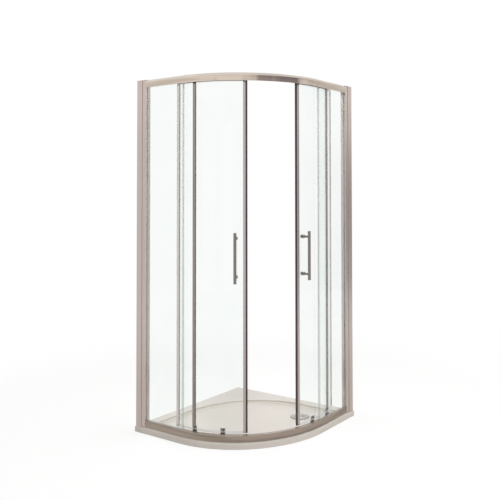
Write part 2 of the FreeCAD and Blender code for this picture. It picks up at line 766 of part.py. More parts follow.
def make_bottom_rail():
    out, wall, rounding = C.frame_inset, C.rail_wall, C.sill_round
    base, floor = C.tray_height, SILL_TOP - C.sill_groove_depth
    at = section_corner
    return swept("bottom_rail", [
        at(out, base),
        at(out, SILL_TOP - rounding),
        at(out + rounding, SILL_TOP, (out + rounding, SILL_TOP - rounding), rounding, True),
        at(GROOVE_OUT, SILL_TOP),
        at(GROOVE_OUT, floor),
        at(GROOVE_IN, floor),
        at(GROOVE_IN, SILL_TOP),
        at(RIB_IN, SILL_TOP),
        at(RIB_IN, SHELF_TOP),
        at(FRAME_IN - wall, SHELF_TOP),
        at(FRAME_IN - wall, SHELF_TOP + C.sill_lip),
        at(FRAME_IN, SHELF_TOP + C.sill_lip),
        at(FRAME_IN, base),
        at(FRAME_IN - wall, base),
        at(FRAME_IN - wall, SHELF_TOP - wall),
        at(GROOVE_IN, SHELF_TOP - wall),
        at(GROOVE_IN, floor - wall),
        at(out + wall, floor - wall),
        at(out + wall, base),
    ])


def make_pane():
    half = C.glass_thickness / 2
    pane = box("fixed_glass_left",
               (PANE_START, front_y(C.pane_inset - half), PANE_BOTTOM),
               (CENTRE_X, front_y(C.pane_inset + half), PANE_TOP))
    return pane


def make_gasket():
    """Glazing gasket round the pane's three held edges."""
    out, inner = front_y(GROOVE_OUT), front_y(GROOVE_IN)
    half = C.glass_thickness / 2
    seal_end = CENTRE_X - C.edge_seal_width
    runs = [
        box("gasket_post_run", (RAIL_END - C.post_groove_depth, out, SILL_TOP), (RAIL_END, inner, SLOT_BOTTOM)),
        box("gasket_sill_run", (RAIL_END, out, SILL_TOP - C.sill_groove_depth), (seal_end, inner, SILL_TOP)),
        box("gasket_top_run", (RAIL_END, out, SLOT_BOTTOM), (seal_end, inner, PANE_TOP + C.pane_lift)),
        box("gasket_lower_corner", (RAIL_END - C.post_groove_depth, out, SILL_TOP - C.sill_groove_depth),
            (RAIL_END, inner, SILL_TOP)),
        box("gasket_upper_corner", (RAIL_END - C.post_groove_depth, out, SLOT_BOTTOM),
            (RAIL_END, inner, PANE_TOP + C.pane_lift)),
    ]
    room = box("gasket_pane_room",
               (PANE_START, front_y(C.pane_inset - half), PANE_BOTTOM),
               (CENTRE_X, front_y(C.pane_inset + half), PANE_TOP))
    return cut("glazing_gasket_left", fuse("gasket_runs", runs), [room])


def make_edge_seal():
    """Clear seal on the pane's free edge, with a fin towards the door."""
    body = new_body("edge_seal_left")
    half = C.glass_thickness / 2 + C.slot_play
    thick = C.drip_wall
    start, end = CENTRE_X - C.edge_seal_width, CENTRE_X + C.slot_play + thick
    out, inner = front_y(C.pane_inset - half - thick), front_y(C.pane_inset + half + thick)
    fin = inner + C.edge_seal_fin
    draw_up(body, [
        (start, out), (end, out), (end, inner), (end - thick, fin), (end - thick * 2, fin),
        (end - thick * 2, inner), (start, inner), (start, inner - thick),
        (end - thick, inner - thick), (end - thick, out + thick), (start, out + thick),
    ], SILL_TOP + C.slot_play, SLOT_BOTTOM - C.slot_play)
    return body


def make_brackets():
    """Angle brackets that tie both rails to the left post."""
    near = front_y(RIB_IN + C.bracket_gap)
    far = near + C.bracket_width
    roof = FRAME_TOP - C.rail_wall
    arm, rise, wall = RAIL_END + C.bracket_arm, C.bracket_rise, C.bracket_wall
    lower = fuse("lower_bracket", [
        box("lower_bracket_arm", (RAIL_END, near, SHELF_TOP), (arm, far, SHELF_TOP + wall)),
        box("lower_bracket_leg", (RAIL_END, near, SHELF_TOP), (RAIL_END + wall, far, SHELF_TOP + rise)),
    ])
    upper = fuse("upper_bracket", [
        box("upper_bracket_arm", (RAIL_END, near, roof - wall), (arm, far, roof)),
        box("upper_bracket_leg", (RAIL_END, near, roof - rise), (RAIL_END + wall, far, roof)),
    ])
    return cut("rail_brackets_left", group("bracket_pair", [lower, upper]), bracket_holes("bracket_hole"))


def make_frame_screws():
    adjusters = [
        screw("adjuster_screw_%d" % number,
              (C.adjuster_inset - HALF, front_y(FRAME_IN) - C.screw_length, height), "y", head_first=False)
        for number, height in enumerate(adjuster_heights(), start=1)
    ]
    rail_screws = [
        screw("rail_screw_%d" % number,
              (RAIL_END + C.bracket_wall - C.screw_length, bracket_screw_y(), height), "x", head_first=False)
        for number, height in enumerate(bracket_screw_heights(), start=1)
    ]
    return [group("adjuster_screws_left", adjusters), group("rail_screws_left", rail_screws)]


def make_stop():
    start = RAIL_END + C.stop_offset
    return box("door_stop_left", (start, front_y(RIB_IN), TRACK_TOP),
               (start + C.stop_length, front_y(RIB_IN + C.track_width), TRACK_TOP + C.stop_height))


# ---------------------------------------------------------------- doors

def across(side, start, end):
    """Two distances back from the leading edge, as low and high y for this side."""
    pair = (side * Size.of(start), side * Size.of(end))
    return pair if side == RIGHT else pair[::-1]


def sided(side, corners):
    """Corners drawn as radius and distance back from the leading edge, for this side."""
    return [
        Corner(item.x, side * item.y,
               None if item.centre is None else (item.centre[0], side * Size.of(item.centre[1])),
               item.radius, item.clockwise == (side == RIGHT))
        for item in (entry if isinstance(entry, Corner) else Corner(*entry) for entry in corners)
    ]


def clip_section(depth, width, mouth):
    """U section round the glass edge, about its own middle; mouth is the open end."""
    low, high = DOOR_RADIUS - depth / 2, DOOR_RADIUS + depth / 2
    near, far, rounding = -width / 2, width / 2, C.clip_round
    gap_low, gap_high = GLASS_IN - C.slot_play, GLASS_OUT + C.slot_play
    if mouth == "far":
        web = near + C.clip_web
        return [
            Corner(low, near + rounding),
            Corner(low + rounding, near, (low + rounding, near + rounding), rounding),
            Corner(high - rounding, near),
            Corner(high, near + rounding, (high - rounding, near + rounding), rounding),
            (high, far), (gap_high, far), (gap_high, web), (gap_low, web), (gap_low, far), (low, far),
        ]
    web = far - C.clip_web
    return [
        (low, near), (gap_low, near), (gap_low, web), (gap_high, web), (gap_high, near), (high, near),
        Corner(high, far - rounding),
        Corner(high - rounding, far, (high - rounding, far - rounding), rounding),
        Corner(low + rounding, far),
        Corner(low, far - rounding, (low + rounding, far - rounding), rounding),
    ]


def door_strip(side, label, corners, low, high, angle):
    body = new_body(label)
    draw_up(body, sided(side, corners), low, high)
    place_on_door(body, side, angle)
    return body


def door_band(side, label, corners, start, end):
    """A curved piece: a section in radius and height, turned from one angle to another."""
    body = new_body(label)
    draw_and_turn(body, corners, angle=end - start, backwards=side == LEFT)
    place_on_door(body, side, start)
    return body


def lead_end():
    """Distance from the meeting line to the leading profile's far side."""
    return C.meeting_gap + C.magnet_width + C.lead_width


def make_door_glass(side, name):
    start = arc_degrees(C.meeting_gap + C.magnet_width + C.clip_web + C.slot_play * 2, DOOR_RADIUS)
    end = C.door_angle - arc_degrees(C.clip_web + C.slot_play * 2, DOOR_RADIUS)
    blank = door_band(side, "door_glass_blank_" + name, [
        (GLASS_IN, C.door_bottom), (GLASS_OUT, C.door_bottom), (GLASS_OUT, DOOR_TOP), (GLASS_IN, DOOR_TOP),
    ], start, end)
    holes = []
    through = (GLASS_IN - 2 * PAST, C.glass_thickness + 4 * PAST)
    for angle in (C.guide_angle, C.stile_angle):
        holes.append(door_hole(side, C.guide_screw_radius + C.guide_hole_play, through, angle, C.guide_screw_height))
    for height in handle_heights():
        holes.append(door_hole(side, C.handle_hole_radius, through, C.handle_angle, height))
    return cut("door_glass_" + name, blank, holes)


def door_hole(side, radius, through, angle, height):
    item = cylinder("door_hole", radius, through[1], (0, 0, 0), "x")
    return on_door(item, side, angle, through[0], height)


def on_door(item, side, angle, start, height):
    """Lay a cylinder along the door's radius at an angle and a height."""
    holder = DOC.addObject("Part::Compound", item.Name + "_placed")
    holder.Links = [item]
    place(item, start, 0, height, axis=(0, 1, 0), angle=90)
    place_on_door(holder, side, angle)
    return holder


def handle_heights():
    return (C.handle_height - C.handle_spacing / 2, C.handle_height + C.handle_spacing / 2)


def make_door_profiles(side, name):
    seal_far = C.meeting_gap + C.magnet_width
    magnet_low = DOOR_RADIUS - C.magnet_depth / 2
    magnet_high = DOOR_RADIUS + C.magnet_depth / 2
    bevel = C.clip_round
    lean = (C.magnet_depth / 2 - bevel) * (seal_far + C.lead_width / 2) / DOOR_RADIUS
    magnet_far = seal_far - lean - C.seal_play
    lead_middle = arc_degrees(seal_far + C.lead_width / 2, DOOR_RADIUS)
    trail_middle = C.door_angle - arc_degrees(C.trail_width / 2, DOOR_RADIUS)
    magnet = door_strip(side, "magnet_seal_" + name, [
        (magnet_low + bevel, C.meeting_gap), (magnet_high - bevel, C.meeting_gap),
        (magnet_high, C.meeting_gap + bevel), (magnet_high, magnet_far - bevel),
        (magnet_high - bevel, magnet_far), (magnet_low + bevel, magnet_far),
        (magnet_low, magnet_far - bevel), (magnet_low, C.meeting_gap + bevel),
    ], C.door_bottom - C.drip_fin, HEADER_TOP, 0)
    lead = door_strip(side, "lead_profile_" + name, clip_section(C.lead_depth, C.lead_width, "far"),
                      C.door_bottom - C.drip_fin, HEADER_TOP, lead_middle)
    trail = door_strip(side, "trail_profile_" + name, clip_section(C.trail_depth, C.trail_width, "near"),
                       C.door_bottom - C.drip_fin, HEADER_TOP, trail_middle)
    return [magnet, lead, trail]


def make_stile(side, name):
    """Rear stile: a strip bonded to each face of the glass, above the rear guide."""
    half = C.stile_width / 2
    strips = []
    for place_name, low in (("outer", GLASS_OUT + C.bond_line),
                            ("inner", GLASS_IN - C.bond_line - C.stile_thickness)):
        high = low + C.stile_thickness
        strips.append(box("stile_%s_%s" % (place_name, name),
                          (low, -half, C.guide_top + C.stile_gap), (high, half, HEADER_BOTTOM)))
    item = group("rear_stile_" + name, strips)
    place_on_door(item, side, C.stile_angle)
    return item


def make_door_bands(side, name):
    start = arc_degrees(lead_end() + C.slot_play, DOOR_RADIUS)
    end = C.door_angle - arc_degrees(C.trail_width + C.slot_play, DOOR_RADIUS)
    slot_in, slot_out = GLASS_IN - C.slot_play, GLASS_OUT + C.slot_play
    thin = C.drip_wall
    shoulder = C.door_bottom - C.drip_shoulder
    seat = C.door_bottom - C.slot_play
    top = C.door_bottom + C.drip_height / 2
    drip = door_band(side, "drip_seal_" + name, [
        (slot_in - thin, shoulder), (DOOR_RADIUS - thin, shoulder),
        (DOOR_RADIUS - thin, shoulder - C.drip_fin), (DOOR_RADIUS + thin, shoulder - C.drip_fin),
        (DOOR_RADIUS + thin, shoulder), (slot_out + thin, shoulder),
        (slot_out + thin, top), (slot_out, top), (slot_out, seat), (slot_in, seat),
        (slot_in, top), (slot_in - thin, top),
    ], start, end)
    wall = C.header_wall
    roof = HEADER_TOP - wall
    header = door_band(side, "door_header_" + name, [
        (slot_in - wall, HEADER_BOTTOM), (slot_in, HEADER_BOTTOM), (slot_in, roof), (slot_out, roof),
        (slot_out, HEADER_BOTTOM), (slot_out + wall, HEADER_BOTTOM),
        (slot_out + wall, HEADER_TOP), (slot_in - wall, HEADER_TOP),
    ], start, end)
    return [drip, header]


def make_guides(side, name):
    """Guide blocks: a plate behind the glass and a foot that runs along the rail's rib."""
    plate_out = GLASS_IN - C.drip_wall - C.slot_play - C.guide_seal_gap
    plate_in = plate_out - C.guide_plate
    foot_out = RIB_RADIUS - C.guide_play
    foot_top = C.guide_bottom + C.guide_foot
    bevel = C.guide_bevel
    items, screws = [], []
    for place_name, angle in (("front", C.guide_angle), ("rear", C.stile_angle)):
        block = new_body("%s_guide_block_%s" % (place_name, name))
        section = draw(sketch_on(block, "XZ_Plane"), [
            (plate_in, C.guide_bottom), (foot_out, C.guide_bottom), (foot_out, foot_top - bevel),
            (foot_out - bevel, foot_top), (plate_out, foot_top), (plate_out, C.guide_top),
            (plate_in + bevel / 2, C.guide_top), (plate_in, C.guide_top - bevel / 2),
        ])
        pad(block, section, C.guide_length, midplane=True)
        boss = cylinder("guide_boss_%s_%s" % (place_name, name), C.guide_cap_radius,
                        GLASS_IN - C.face_play - plate_out,
                        (plate_out, 0, C.guide_screw_height), "x")
        bore = cylinder("guide_bore_%s_%s" % (place_name, name), C.guide_screw_radius + C.screw_play,
                        GLASS_IN - plate_in + 2 * PAST, (plate_in - PAST, 0, C.guide_screw_height), "x")
        guide = cut("guide_%s_%s" % (place_name, name),
                    fuse("guide_solid_%s_%s" % (place_name, name), [block, boss]), [bore])
        holder = group("guide_holder_%s_%s" % (place_name, name), [guide])
        place_on_door(holder, side, angle)
        items.append(holder)
        shank = cylinder("guide_shank_%s_%s" % (place_name, name), C.guide_screw_radius,
                         GLASS_OUT - plate_in, (plate_in, 0, C.guide_screw_height), "x")
        head = cylinder("guide_head_%s_%s" % (place_name, name), C.guide_cap_radius, C.screw_head,
                        (GLASS_OUT, 0, C.guide_screw_height), "x")
        pin = group("guide_screw_holder_%s_%s" % (place_name, name),
                    [fuse("guide_screw_%s_%s" % (place_name, name), [shank, head])])
        place_on_door(pin, side, angle)
        screws.append(pin)
    return [group("guide_blocks_" + name, items), group("guide_screws_" + name, screws)]


def make_hangers(side, name):
    """Roller hangers on the header, their axles, and the rollers."""
    hangers, axles, rollers = [], [], []
    foot_in, foot_out = HANGER_IN - C.hanger_heel, HANGER_OUT + C.hanger_toe
    foot_top = HEADER_TOP + C.hanger_foot
    plate_top = ROLLER_Z + C.roller_radius - C.hanger_drop
    for place_name, angle in (("front", C.roller_angle), ("rear", C.stile_angle)):
        body = new_body("hanger_blank_%s_%s" % (place_name, name))
        section = draw(sketch_on(body, "XZ_Plane"), [
            (foot_in, HEADER_TOP), (foot_out, HEADER_TOP), (foot_out, foot_top), (HANGER_OUT, foot_top),
            (HANGER_OUT, plate_top), (HANGER_IN, plate_top), (HANGER_IN, foot_top), (foot_in, foot_top),
        ])
        pad(body, section, C.hanger_length, midplane=True)
        bore = cylinder("hanger_bore_%s_%s" % (place_name, name), C.axle_radius, C.hanger_plate + 2 * PAST,
                        (HANGER_IN - PAST, 0, ROLLER_Z), "x")
        hanger = group("hanger_holder_%s_%s" % (place_name, name),
                       [cut("hanger_%s_%s" % (place_name, name), body, [bore])])
        place_on_door(hanger, side, angle)
        hangers.append(hanger)

        roller_out = ROLLER_IN + C.roller_width
        tail = ROLLER_IN - HANGER_IN - C.roller_gap
        pin = fuse("axle_%s_%s" % (place_name, name), [
            cylinder("axle_pin_%s_%s" % (place_name, name), C.axle_radius,
                     roller_out + C.roller_gap - HANGER_IN, (HANGER_IN, 0, ROLLER_Z), "x"),
            cylinder("axle_collar_%s_%s" % (place_name, name), C.axle_head_radius,
                     tail - C.hanger_plate, (HANGER_OUT, 0, ROLLER_Z), "x"),
            cylinder("axle_head_%s_%s" % (place_name, name), C.axle_head_radius, C.axle_head,
                     (roller_out + C.roller_gap, 0, ROLLER_Z), "x"),
        ])
        holder = group("axle_holder_%s_%s" % (place_name, name), [pin])
        place_on_door(holder, side, angle)
        axles.append(holder)

        wheel = new_body("%s_roller_%s" % (place_name, name))
        bore_radius = C.axle_radius + C.axle_play
        tread, bevel = C.roller_radius, C.roller_bevel
        section = draw(sketch_on(wheel, "XZ_Plane"), [
            (ROLLER_IN, bore_radius), (roller_out, bore_radius), (roller_out, tread - bevel),
            (roller_out - bevel, tread), (ROLLER_IN + bevel, tread), (ROLLER_IN, tread - bevel),
        ])
        revolve(wheel, section, "H_Axis")
        place_on_door(wheel, side, angle, ROLLER_Z)
        rollers.append(wheel)
    return [group("roller_hangers_" + name, hangers), group("roller_axles_" + name, axles)] + rollers


def make_handle(side, name):
    """Bar handle on two posts, with knobs and washers on the inner face."""
    blank = cylinder("handle_blank_" + name, C.handle_radius, C.handle_length,
                     (HANDLE_BAR, 0, C.handle_height - C.handle_length / 2))
    bar = DOC.addObject("Part::Fillet", "bar_rounded_" + name)
    bar.Base = blank
    rounding = C.handle_round.value
    bar.Edges = [(1, rounding, rounding), (3, rounding, rounding)]
    posts, knobs, washers = [], [], []
    for number, height in enumerate(handle_heights(), start=1):
        tag = "%s_%d" % (name, number)
        start = GLASS_OUT + C.washer_thickness
        posts.append(cylinder("handle_post_" + tag, C.handle_post_radius, HANDLE_BAR - start,
                              (start, 0, height), "x"))
        back = GLASS_IN - C.face_play - C.washer_thickness
        grip = cylinder("knob_grip_" + tag, C.knob_radius, C.knob_length, (back - C.knob_length, 0, height), "x")
        grip_rounded = DOC.addObject("Part::Fillet", "knob_rounded_" + tag)
        grip_rounded.Base = grip
        knob_rounding = C.knob_round.value
        grip_rounded.Edges = [(3, knob_rounding, knob_rounding)]
        shank = cylinder("knob_shank_" + tag, C.handle_screw_radius, start - back, (back, 0, height), "x")
        knobs.append(fuse("knob_" + tag, [grip_rounded, shank]))
        for face, at in (("outer", GLASS_OUT), ("inner", back)):
            disc = cylinder("washer_disc_%s_%s" % (face, tag), C.washer_radius, C.washer_thickness,
                            (at, 0, height), "x")
            eye = cylinder("washer_eye_%s_%s" % (face, tag), C.handle_screw_radius, C.washer_thickness + 2 * PAST,
                           (at - PAST, 0, height), "x")
            washers.append(cut("washer_%s_%s" % (face, tag), disc, [eye]))
    saddle = cut("handle_saddles_" + name, group("handle_post_pair_" + name, posts), [blank])
    named = [
        group("handle_bar_" + name, [bar]),
        group("handle_posts_" + name, [saddle]),
        group("handle_knobs_" + name, knobs),
        group("handle_washers_" + name, washers),
    ]
    for item in named:
        place_on_door(item, side, C.handle_angle)
    return named


def make_door(side):
    name = SIDE_NAMES[side]
    return (
        [make_door_glass(side, name)]
        + make_door_profiles(side, name)
        + [make_stile(side, name)]
        + make_door_bands(side, name)
        + make_handle(side, name)
        + make_hangers(side, name)
        + make_guides(side, name)
    )


def make_fixed_frame():
    """The left side's pieces with their twins on the right, and the two rails."""
    left = [make_wall_profile(), make_side_post(), make_cap(), make_pane(), make_gasket(), make_edge_seal(),
            make_brackets()] + make_frame_screws()
    right = [mirrored(item.Label.replace("left", "right"), item) for item in left]
    stop = make_stop()
    stops = group("door_stops", [stop, mirrored("door_stop_right", stop)])
    return left + right + [make_top_rail(), make_bottom_rail(), stops]


def check_document():
    """Stop if any object of the document is not sound."""
    broken = [item.Label for item in DOC.Objects if any(state in item.State for state in BAD_STATES)]
    if broken:
        raise RuntimeError("objects not sound: %s" % ", ".join(broken))


def check_part(part):
    shape = part.Shape
    if shape.isNull() or not shape.isValid() or not shape.Solids:
        raise RuntimeError("no sound shape: %s" % part.Label)


def main():
    parts = [make_tray()] + make_waste() + make_fixed_frame() + make_door(LEFT) + make_door(RIGHT)
    DOC.recompute()
    check_document()
    for part in parts:
        check_part(part)
    os.makedirs("parts", exist_ok=True)
    for part in parts:
        part.Shape.exportStep("parts/%s.step" % part.Label)
        bounds = part.Shape.BoundBox
        print("%-22s %d solid(s) %10.0f mm3  x %7.1f %7.1f  y %7.1f %7.1f  z %7.1f %7.1f" % (
            part.Label, len(part.Shape.Solids), part.Shape.Volume,
            bounds.XMin, bounds.XMax, bounds.YMin, bounds.YMax, bounds.ZMin, bounds.ZMax))
    print("%d parts" % len(parts))


main()
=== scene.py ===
"""Looks of the quadrant shower enclosure.

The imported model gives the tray, the frame, the panes and the doors at their real
places. This script dresses them with procedural finishes, puts smoothly swept skins in
place of the rails and the panes, closes the bottom rail's empty slot, adds the joint
sealant, and sets up the studio and the camera.
"""

import logging
import math
from dataclasses import dataclass, field
from enum import Enum

import bpy
from mathutils import Matrix, Vector

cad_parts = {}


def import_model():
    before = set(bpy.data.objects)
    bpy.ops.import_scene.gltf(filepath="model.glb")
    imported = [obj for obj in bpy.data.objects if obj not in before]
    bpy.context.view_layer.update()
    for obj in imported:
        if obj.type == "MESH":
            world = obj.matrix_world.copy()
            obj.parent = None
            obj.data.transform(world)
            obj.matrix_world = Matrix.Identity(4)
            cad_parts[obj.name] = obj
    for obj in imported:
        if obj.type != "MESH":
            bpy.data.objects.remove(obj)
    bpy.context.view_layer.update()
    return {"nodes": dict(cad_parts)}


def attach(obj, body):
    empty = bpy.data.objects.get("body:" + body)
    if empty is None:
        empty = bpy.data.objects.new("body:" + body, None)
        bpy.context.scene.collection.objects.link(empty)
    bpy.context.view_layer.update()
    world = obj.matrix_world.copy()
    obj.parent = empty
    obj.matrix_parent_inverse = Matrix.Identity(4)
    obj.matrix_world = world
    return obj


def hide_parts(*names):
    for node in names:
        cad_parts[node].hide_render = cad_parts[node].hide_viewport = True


LOG = logging.getLogger("enclosure")
BUMP_HEIGHT = 0.0002
ScreenColour = tuple[int, int, int]
Colour = tuple[float, float, float]
Point = tuple[float, float, float]
Corner = tuple[float, float]
Socket = bpy.types.NodeSocket
Values = dict[str | int, object]


class Side(Enum):
    """The two doors, by the wall that each one slides towards."""

    LEFT = "left"
    RIGHT = "right"


class Grain(Enum):
    """The way that the fine drawing lines of a metal run, as their pattern's scale along X, Y and Z."""

    UPRIGHT = (1.0, 1.0, 0.003)
    LEVEL = (0.015, 0.015, 1.0)


def linear_channel(value: int) -> float:
    """Turn one channel from 0 to 255 into a linear value, by the curve of the screen standard."""
    share = value / 255
    return share / 12.92 if share <= 0.04045 else ((share + 0.055) / 1.055) ** 2.4


def linear(colour: ScreenColour) -> Colour:
    """Turn a colour as written on screen into the renderer's linear values."""
    red, green, blue = colour
    return linear_channel(red), linear_channel(green), linear_channel(blue)


def set_inputs(node: bpy.types.Node, values: Values) -> None:
    """Set a node's inputs, each by its name or number."""
    for key, value in values.items():
        node.inputs[key].default_value = value


class NodeSheet:
    """A short way to add and join nodes in one node tree."""

    def __init__(self, tree: bpy.types.NodeTree) -> None:
        """Keep the tree to build in."""
        self.tree = tree

    def add(self, kind: str, inputs: Values | None = None, **settings: object) -> bpy.types.Node:
        """Add a node.

        Args:
            kind: The node's type name.
            inputs: Values of its inputs, each by its name or number.
            **settings: Properties to set on the node.

        Returns:
            The new node.
        """
        node = self.tree.nodes.new(kind)
        for name, value in settings.items():
            setattr(node, name, value)
        set_inputs(node, inputs or {})
        return node

    def join(self, source: Socket, target: Socket) -> None:
        """Link an output to an input."""
        self.tree.links.new(source, target)

    def reckon(self, operation: str, *terms: Socket | float, **settings: object) -> Socket:
        """Work out a value from one or two others.

        Args:
            operation: The name of the arithmetic operation.
            *terms: The values, each a socket or a plain number.
            **settings: Further properties to set on the node.

        Returns:
            The result's socket.
        """
        node = self.add("ShaderNodeMath", operation=operation, **settings)
        for number, term in enumerate(terms):
            if isinstance(term, float):
                set_inputs(node, {number: term})
            else:
                self.join(term, node.inputs[number])
        return node.outputs[0]

    def show(self, surface: Socket, kind: str = "Material") -> None:
        """Join a shader to the output of a material's or a world's tree."""
        self.join(surface, self.tree.nodes[kind + " Output"].inputs["Surface"])


def new_material(name: str) -> tuple[bpy.types.Material, NodeSheet, bpy.types.Node]:
    """Start a material.

    Args:
        name: The material's name.

    Returns:
        The material, its node sheet and its Principled shader.
    """
    material = bpy.data.materials.new(name)
    material.use_nodes = True
    return material, NodeSheet(material.node_tree), material.node_tree.nodes["Principled BSDF"]


def spread(sheet: NodeSheet, source: Socket, low: float, high: float) -> Socket:
    """Map a 0 to 1 value onto a range.

    Args:
        sheet: The node sheet.
        source: The value to map.
        low: The result at 0.
        high: The result at 1.

    Returns:
        The mapped value's socket.
    """
    node = sheet.add("ShaderNodeMapRange", {"To Min": low, "To Max": high})
    sheet.join(source, node.inputs["Value"])
    return node.outputs["Result"]


def soft_step(sheet: NodeSheet, source: Socket, first: float, last: float,
              low: float = 0.0, high: float = 1.0) -> Socket:
    """Turn a value smoothly from one result to another between two of its readings.

    Args:
        sheet: The node sheet.
        source: The value.
        first: The reading where the result is low.
        last: The reading where the result is high.
        low: The result at the first reading and before it.
        high: The result at the last reading and past it.

    Returns:
        The result's socket.
    """
    ends = {"From Min": first, "From Max": last, "To Min": low, "To Max": high}
    step = sheet.add("ShaderNodeMapRange", ends, interpolation_type="SMOOTHSTEP")
    sheet.join(source, step.inputs["Value"])
    return step.outputs["Result"]


def noise(sheet: NodeSheet, scale: float, detail: float, stretch: Point = (1.0, 1.0, 1.0)) -> Socket:
    """Add a noise pattern on the object's own coordinates.

    Args:
        sheet: The node sheet.
        scale: Noise cells per metre.
        detail: Octaves of the noise.
        stretch: Scale along X, Y and Z before the noise.

    Returns:
        The noise value's socket.
    """
    place = sheet.add("ShaderNodeTexCoord")
    turn = sheet.add("ShaderNodeMapping", {"Scale": stretch})
    pattern = sheet.add("ShaderNodeTexNoise", {"Scale": scale, "Detail": detail})
    sheet.join(place.outputs["Object"], turn.inputs["Vector"])
    sheet.join(turn.outputs["Vector"], pattern.inputs["Vector"])
    return pattern.outputs["Fac"]


def tone(sheet: NodeSheet, source: Socket, dark: Colour, light: Colour,
         low: float = 0.3, high: float = 0.7) -> Socket:
    """Blend two colours by a value.

    Args:
        sheet: The node sheet.
        source: The value that blends them.
        dark: The colour at the low value and below.
        light: The colour at the high value and above.
        low: The low value.
        high: The high value.

    Returns:
        The colour's socket.
    """
    ramp = sheet.add("ShaderNodeValToRGB")
    start, end = ramp.color_ramp.elements
    start.position = low
    start.color = (*dark, 1.0)
    end.position = high
    end.color = (*light, 1.0)
    sheet.join(source, ramp.inputs["Fac"])
    return ramp.outputs["Color"]


def raise_surface(sheet: NodeSheet, shader: bpy.types.Node, source: Socket, strength: float) -> None:
    """Give a shader a bump.

    Args:
        sheet: The node sheet.
        shader: The Principled node.
        source: The height from 0 to 1.
        strength: The bump's strength.
    """
    bump = sheet.add("ShaderNodeBump", {"Strength": strength, "Distance": BUMP_HEIGHT})
    sheet.join(source, bump.inputs["Height"])
    sheet.join(bump.outputs["Normal"], shader.inputs["Normal"])


def blend_shaders(sheet: NodeSheet, share: Socket, first: Socket, second: Socket) -> Socket:
    """Mix two shaders.

    Args:
        sheet: The node sheet.
        share: The second shader's share.
        first: The first shader.
        second: The second shader.

    Returns:
        The mixed shader's socket.
    """
    node = sheet.add("ShaderNodeMixShader")
    sheet.join(share, node.inputs["Fac"])
    sheet.join(first, node.inputs[1])
    sheet.join(second, node.inputs[2])
    return node.outputs["Shader"]


def plain_glow(sheet: NodeSheet, colour: Colour) -> Socket:
    """Add a glow of one colour and give its socket."""
    return sheet.add("ShaderNodeEmission", {"Color": (*colour, 1.0)}).outputs["Emission"]


@dataclass(frozen=True)
class MetalFinish:
    """Drawn or polished metal with fine lines along its grain.

    Attributes:
        name: The material's name.
        dark: Colour in the lines.
        light: Colour between the lines.
        smooth: Lowest roughness.
        rough: Highest roughness.
        grain: The way that the lines run.
        relief: Strength of the lines' bump.
        painted_reflection: How much the tone darkens and lightens in long level streaks, a painted
            reflection of the room, from 0 to 1.
    """

    name: str
    dark: ScreenColour
    light: ScreenColour
    smooth: float
    rough: float
    grain: Grain
    relief: float = 0.02
    painted_reflection: float = 0.0

    # Cells per metre and octaves of each pattern.
    LINES = (900.0, 2.0)
    SMUDGES = (9.0, 4.0)
    STREAKS = (1.0, 1.5)
    # How far the painted reflection streaks are pressed together, where they begin and end, and how much
    # they also lighten as a painted highlight.
    STREAK_STRETCH = (2.4, 2.4, 42.0)
    STREAK_READINGS = (0.38, 0.6)
    STREAK_LIFT = 0.35

    def build(self) -> bpy.types.Material:
        """Make the material.

        Returns:
            The material.
        """
        material, sheet, shader = new_material(self.name)
        lines = noise(sheet, *self.LINES, self.grain.value)
        smudges = noise(sheet, *self.SMUDGES)
        set_inputs(shader, {"Metallic": 1.0})
        colour = tone(sheet, lines, linear(self.dark), linear(self.light))
        if self.painted_reflection > 0:
            colour = self.add_painted_reflections(sheet, colour)
        sheet.join(colour, shader.inputs["Base Color"])
        sheet.join(spread(sheet, smudges, self.smooth, self.rough), shader.inputs["Roughness"])
        raise_surface(sheet, shader, lines, self.relief)
        return material

    def add_painted_reflections(self, sheet: NodeSheet, colour: Socket) -> Socket:
        """Darken and lighten a colour in long level streaks, a painted reflection of the room on the metal.

        Args:
            sheet: The node sheet.
            colour: The colour's socket.

        Returns:
            The streaked colour's socket.
        """
        pattern = noise(sheet, *self.STREAKS, self.STREAK_STRETCH)
        darkest, lightest = 1.0 - self.painted_reflection, 1.0 + self.painted_reflection * self.STREAK_LIFT
        share = soft_step(sheet, pattern, *self.STREAK_READINGS, darkest, lightest)
        scaled = sheet.add("ShaderNodeVectorMath", operation="SCALE")
        sheet.join(colour, scaled.inputs[0])
        sheet.join(share, scaled.inputs["Scale"])
        return scaled.outputs["Vector"]


@dataclass(frozen=True)
class GlassFinish:
    """Clear toughened glass that lets the lamps through.

    Attributes:
        name: The material's name.
        tint: The colour of light that has passed through.
        film: The tint where water has dried to a faint film.
    """

    name: str
    tint: ScreenColour
    film: ScreenColour

    REFRACTION = 1.5
    # Cells per metre and octaves of the film's patches.
    PATCHES = (5.0, 5.0)

    def build(self) -> bpy.types.Material:
        """Make the material; rays from lamps pass it, so that what is behind it isn't in the dark.

        Returns:
            The material.
        """
        material, sheet, shader = new_material(self.name)
        set_inputs(shader, {"Transmission Weight": 1.0, "IOR": self.REFRACTION, "Roughness": 0.0})
        tint = linear(self.tint)
        patches = noise(sheet, *self.PATCHES)
        sheet.join(tone(sheet, patches, linear(self.film), tint), shader.inputs["Base Color"])
        path = sheet.add("ShaderNodeLightPath")
        clear = sheet.add("ShaderNodeBsdfTransparent", {"Color": (*tint, 1.0)})
        from_lamp = path.outputs["Is Shadow Ray"]
        sheet.show(blend_shaders(sheet, from_lamp, shader.outputs["BSDF"], clear.outputs["BSDF"]))
        return material


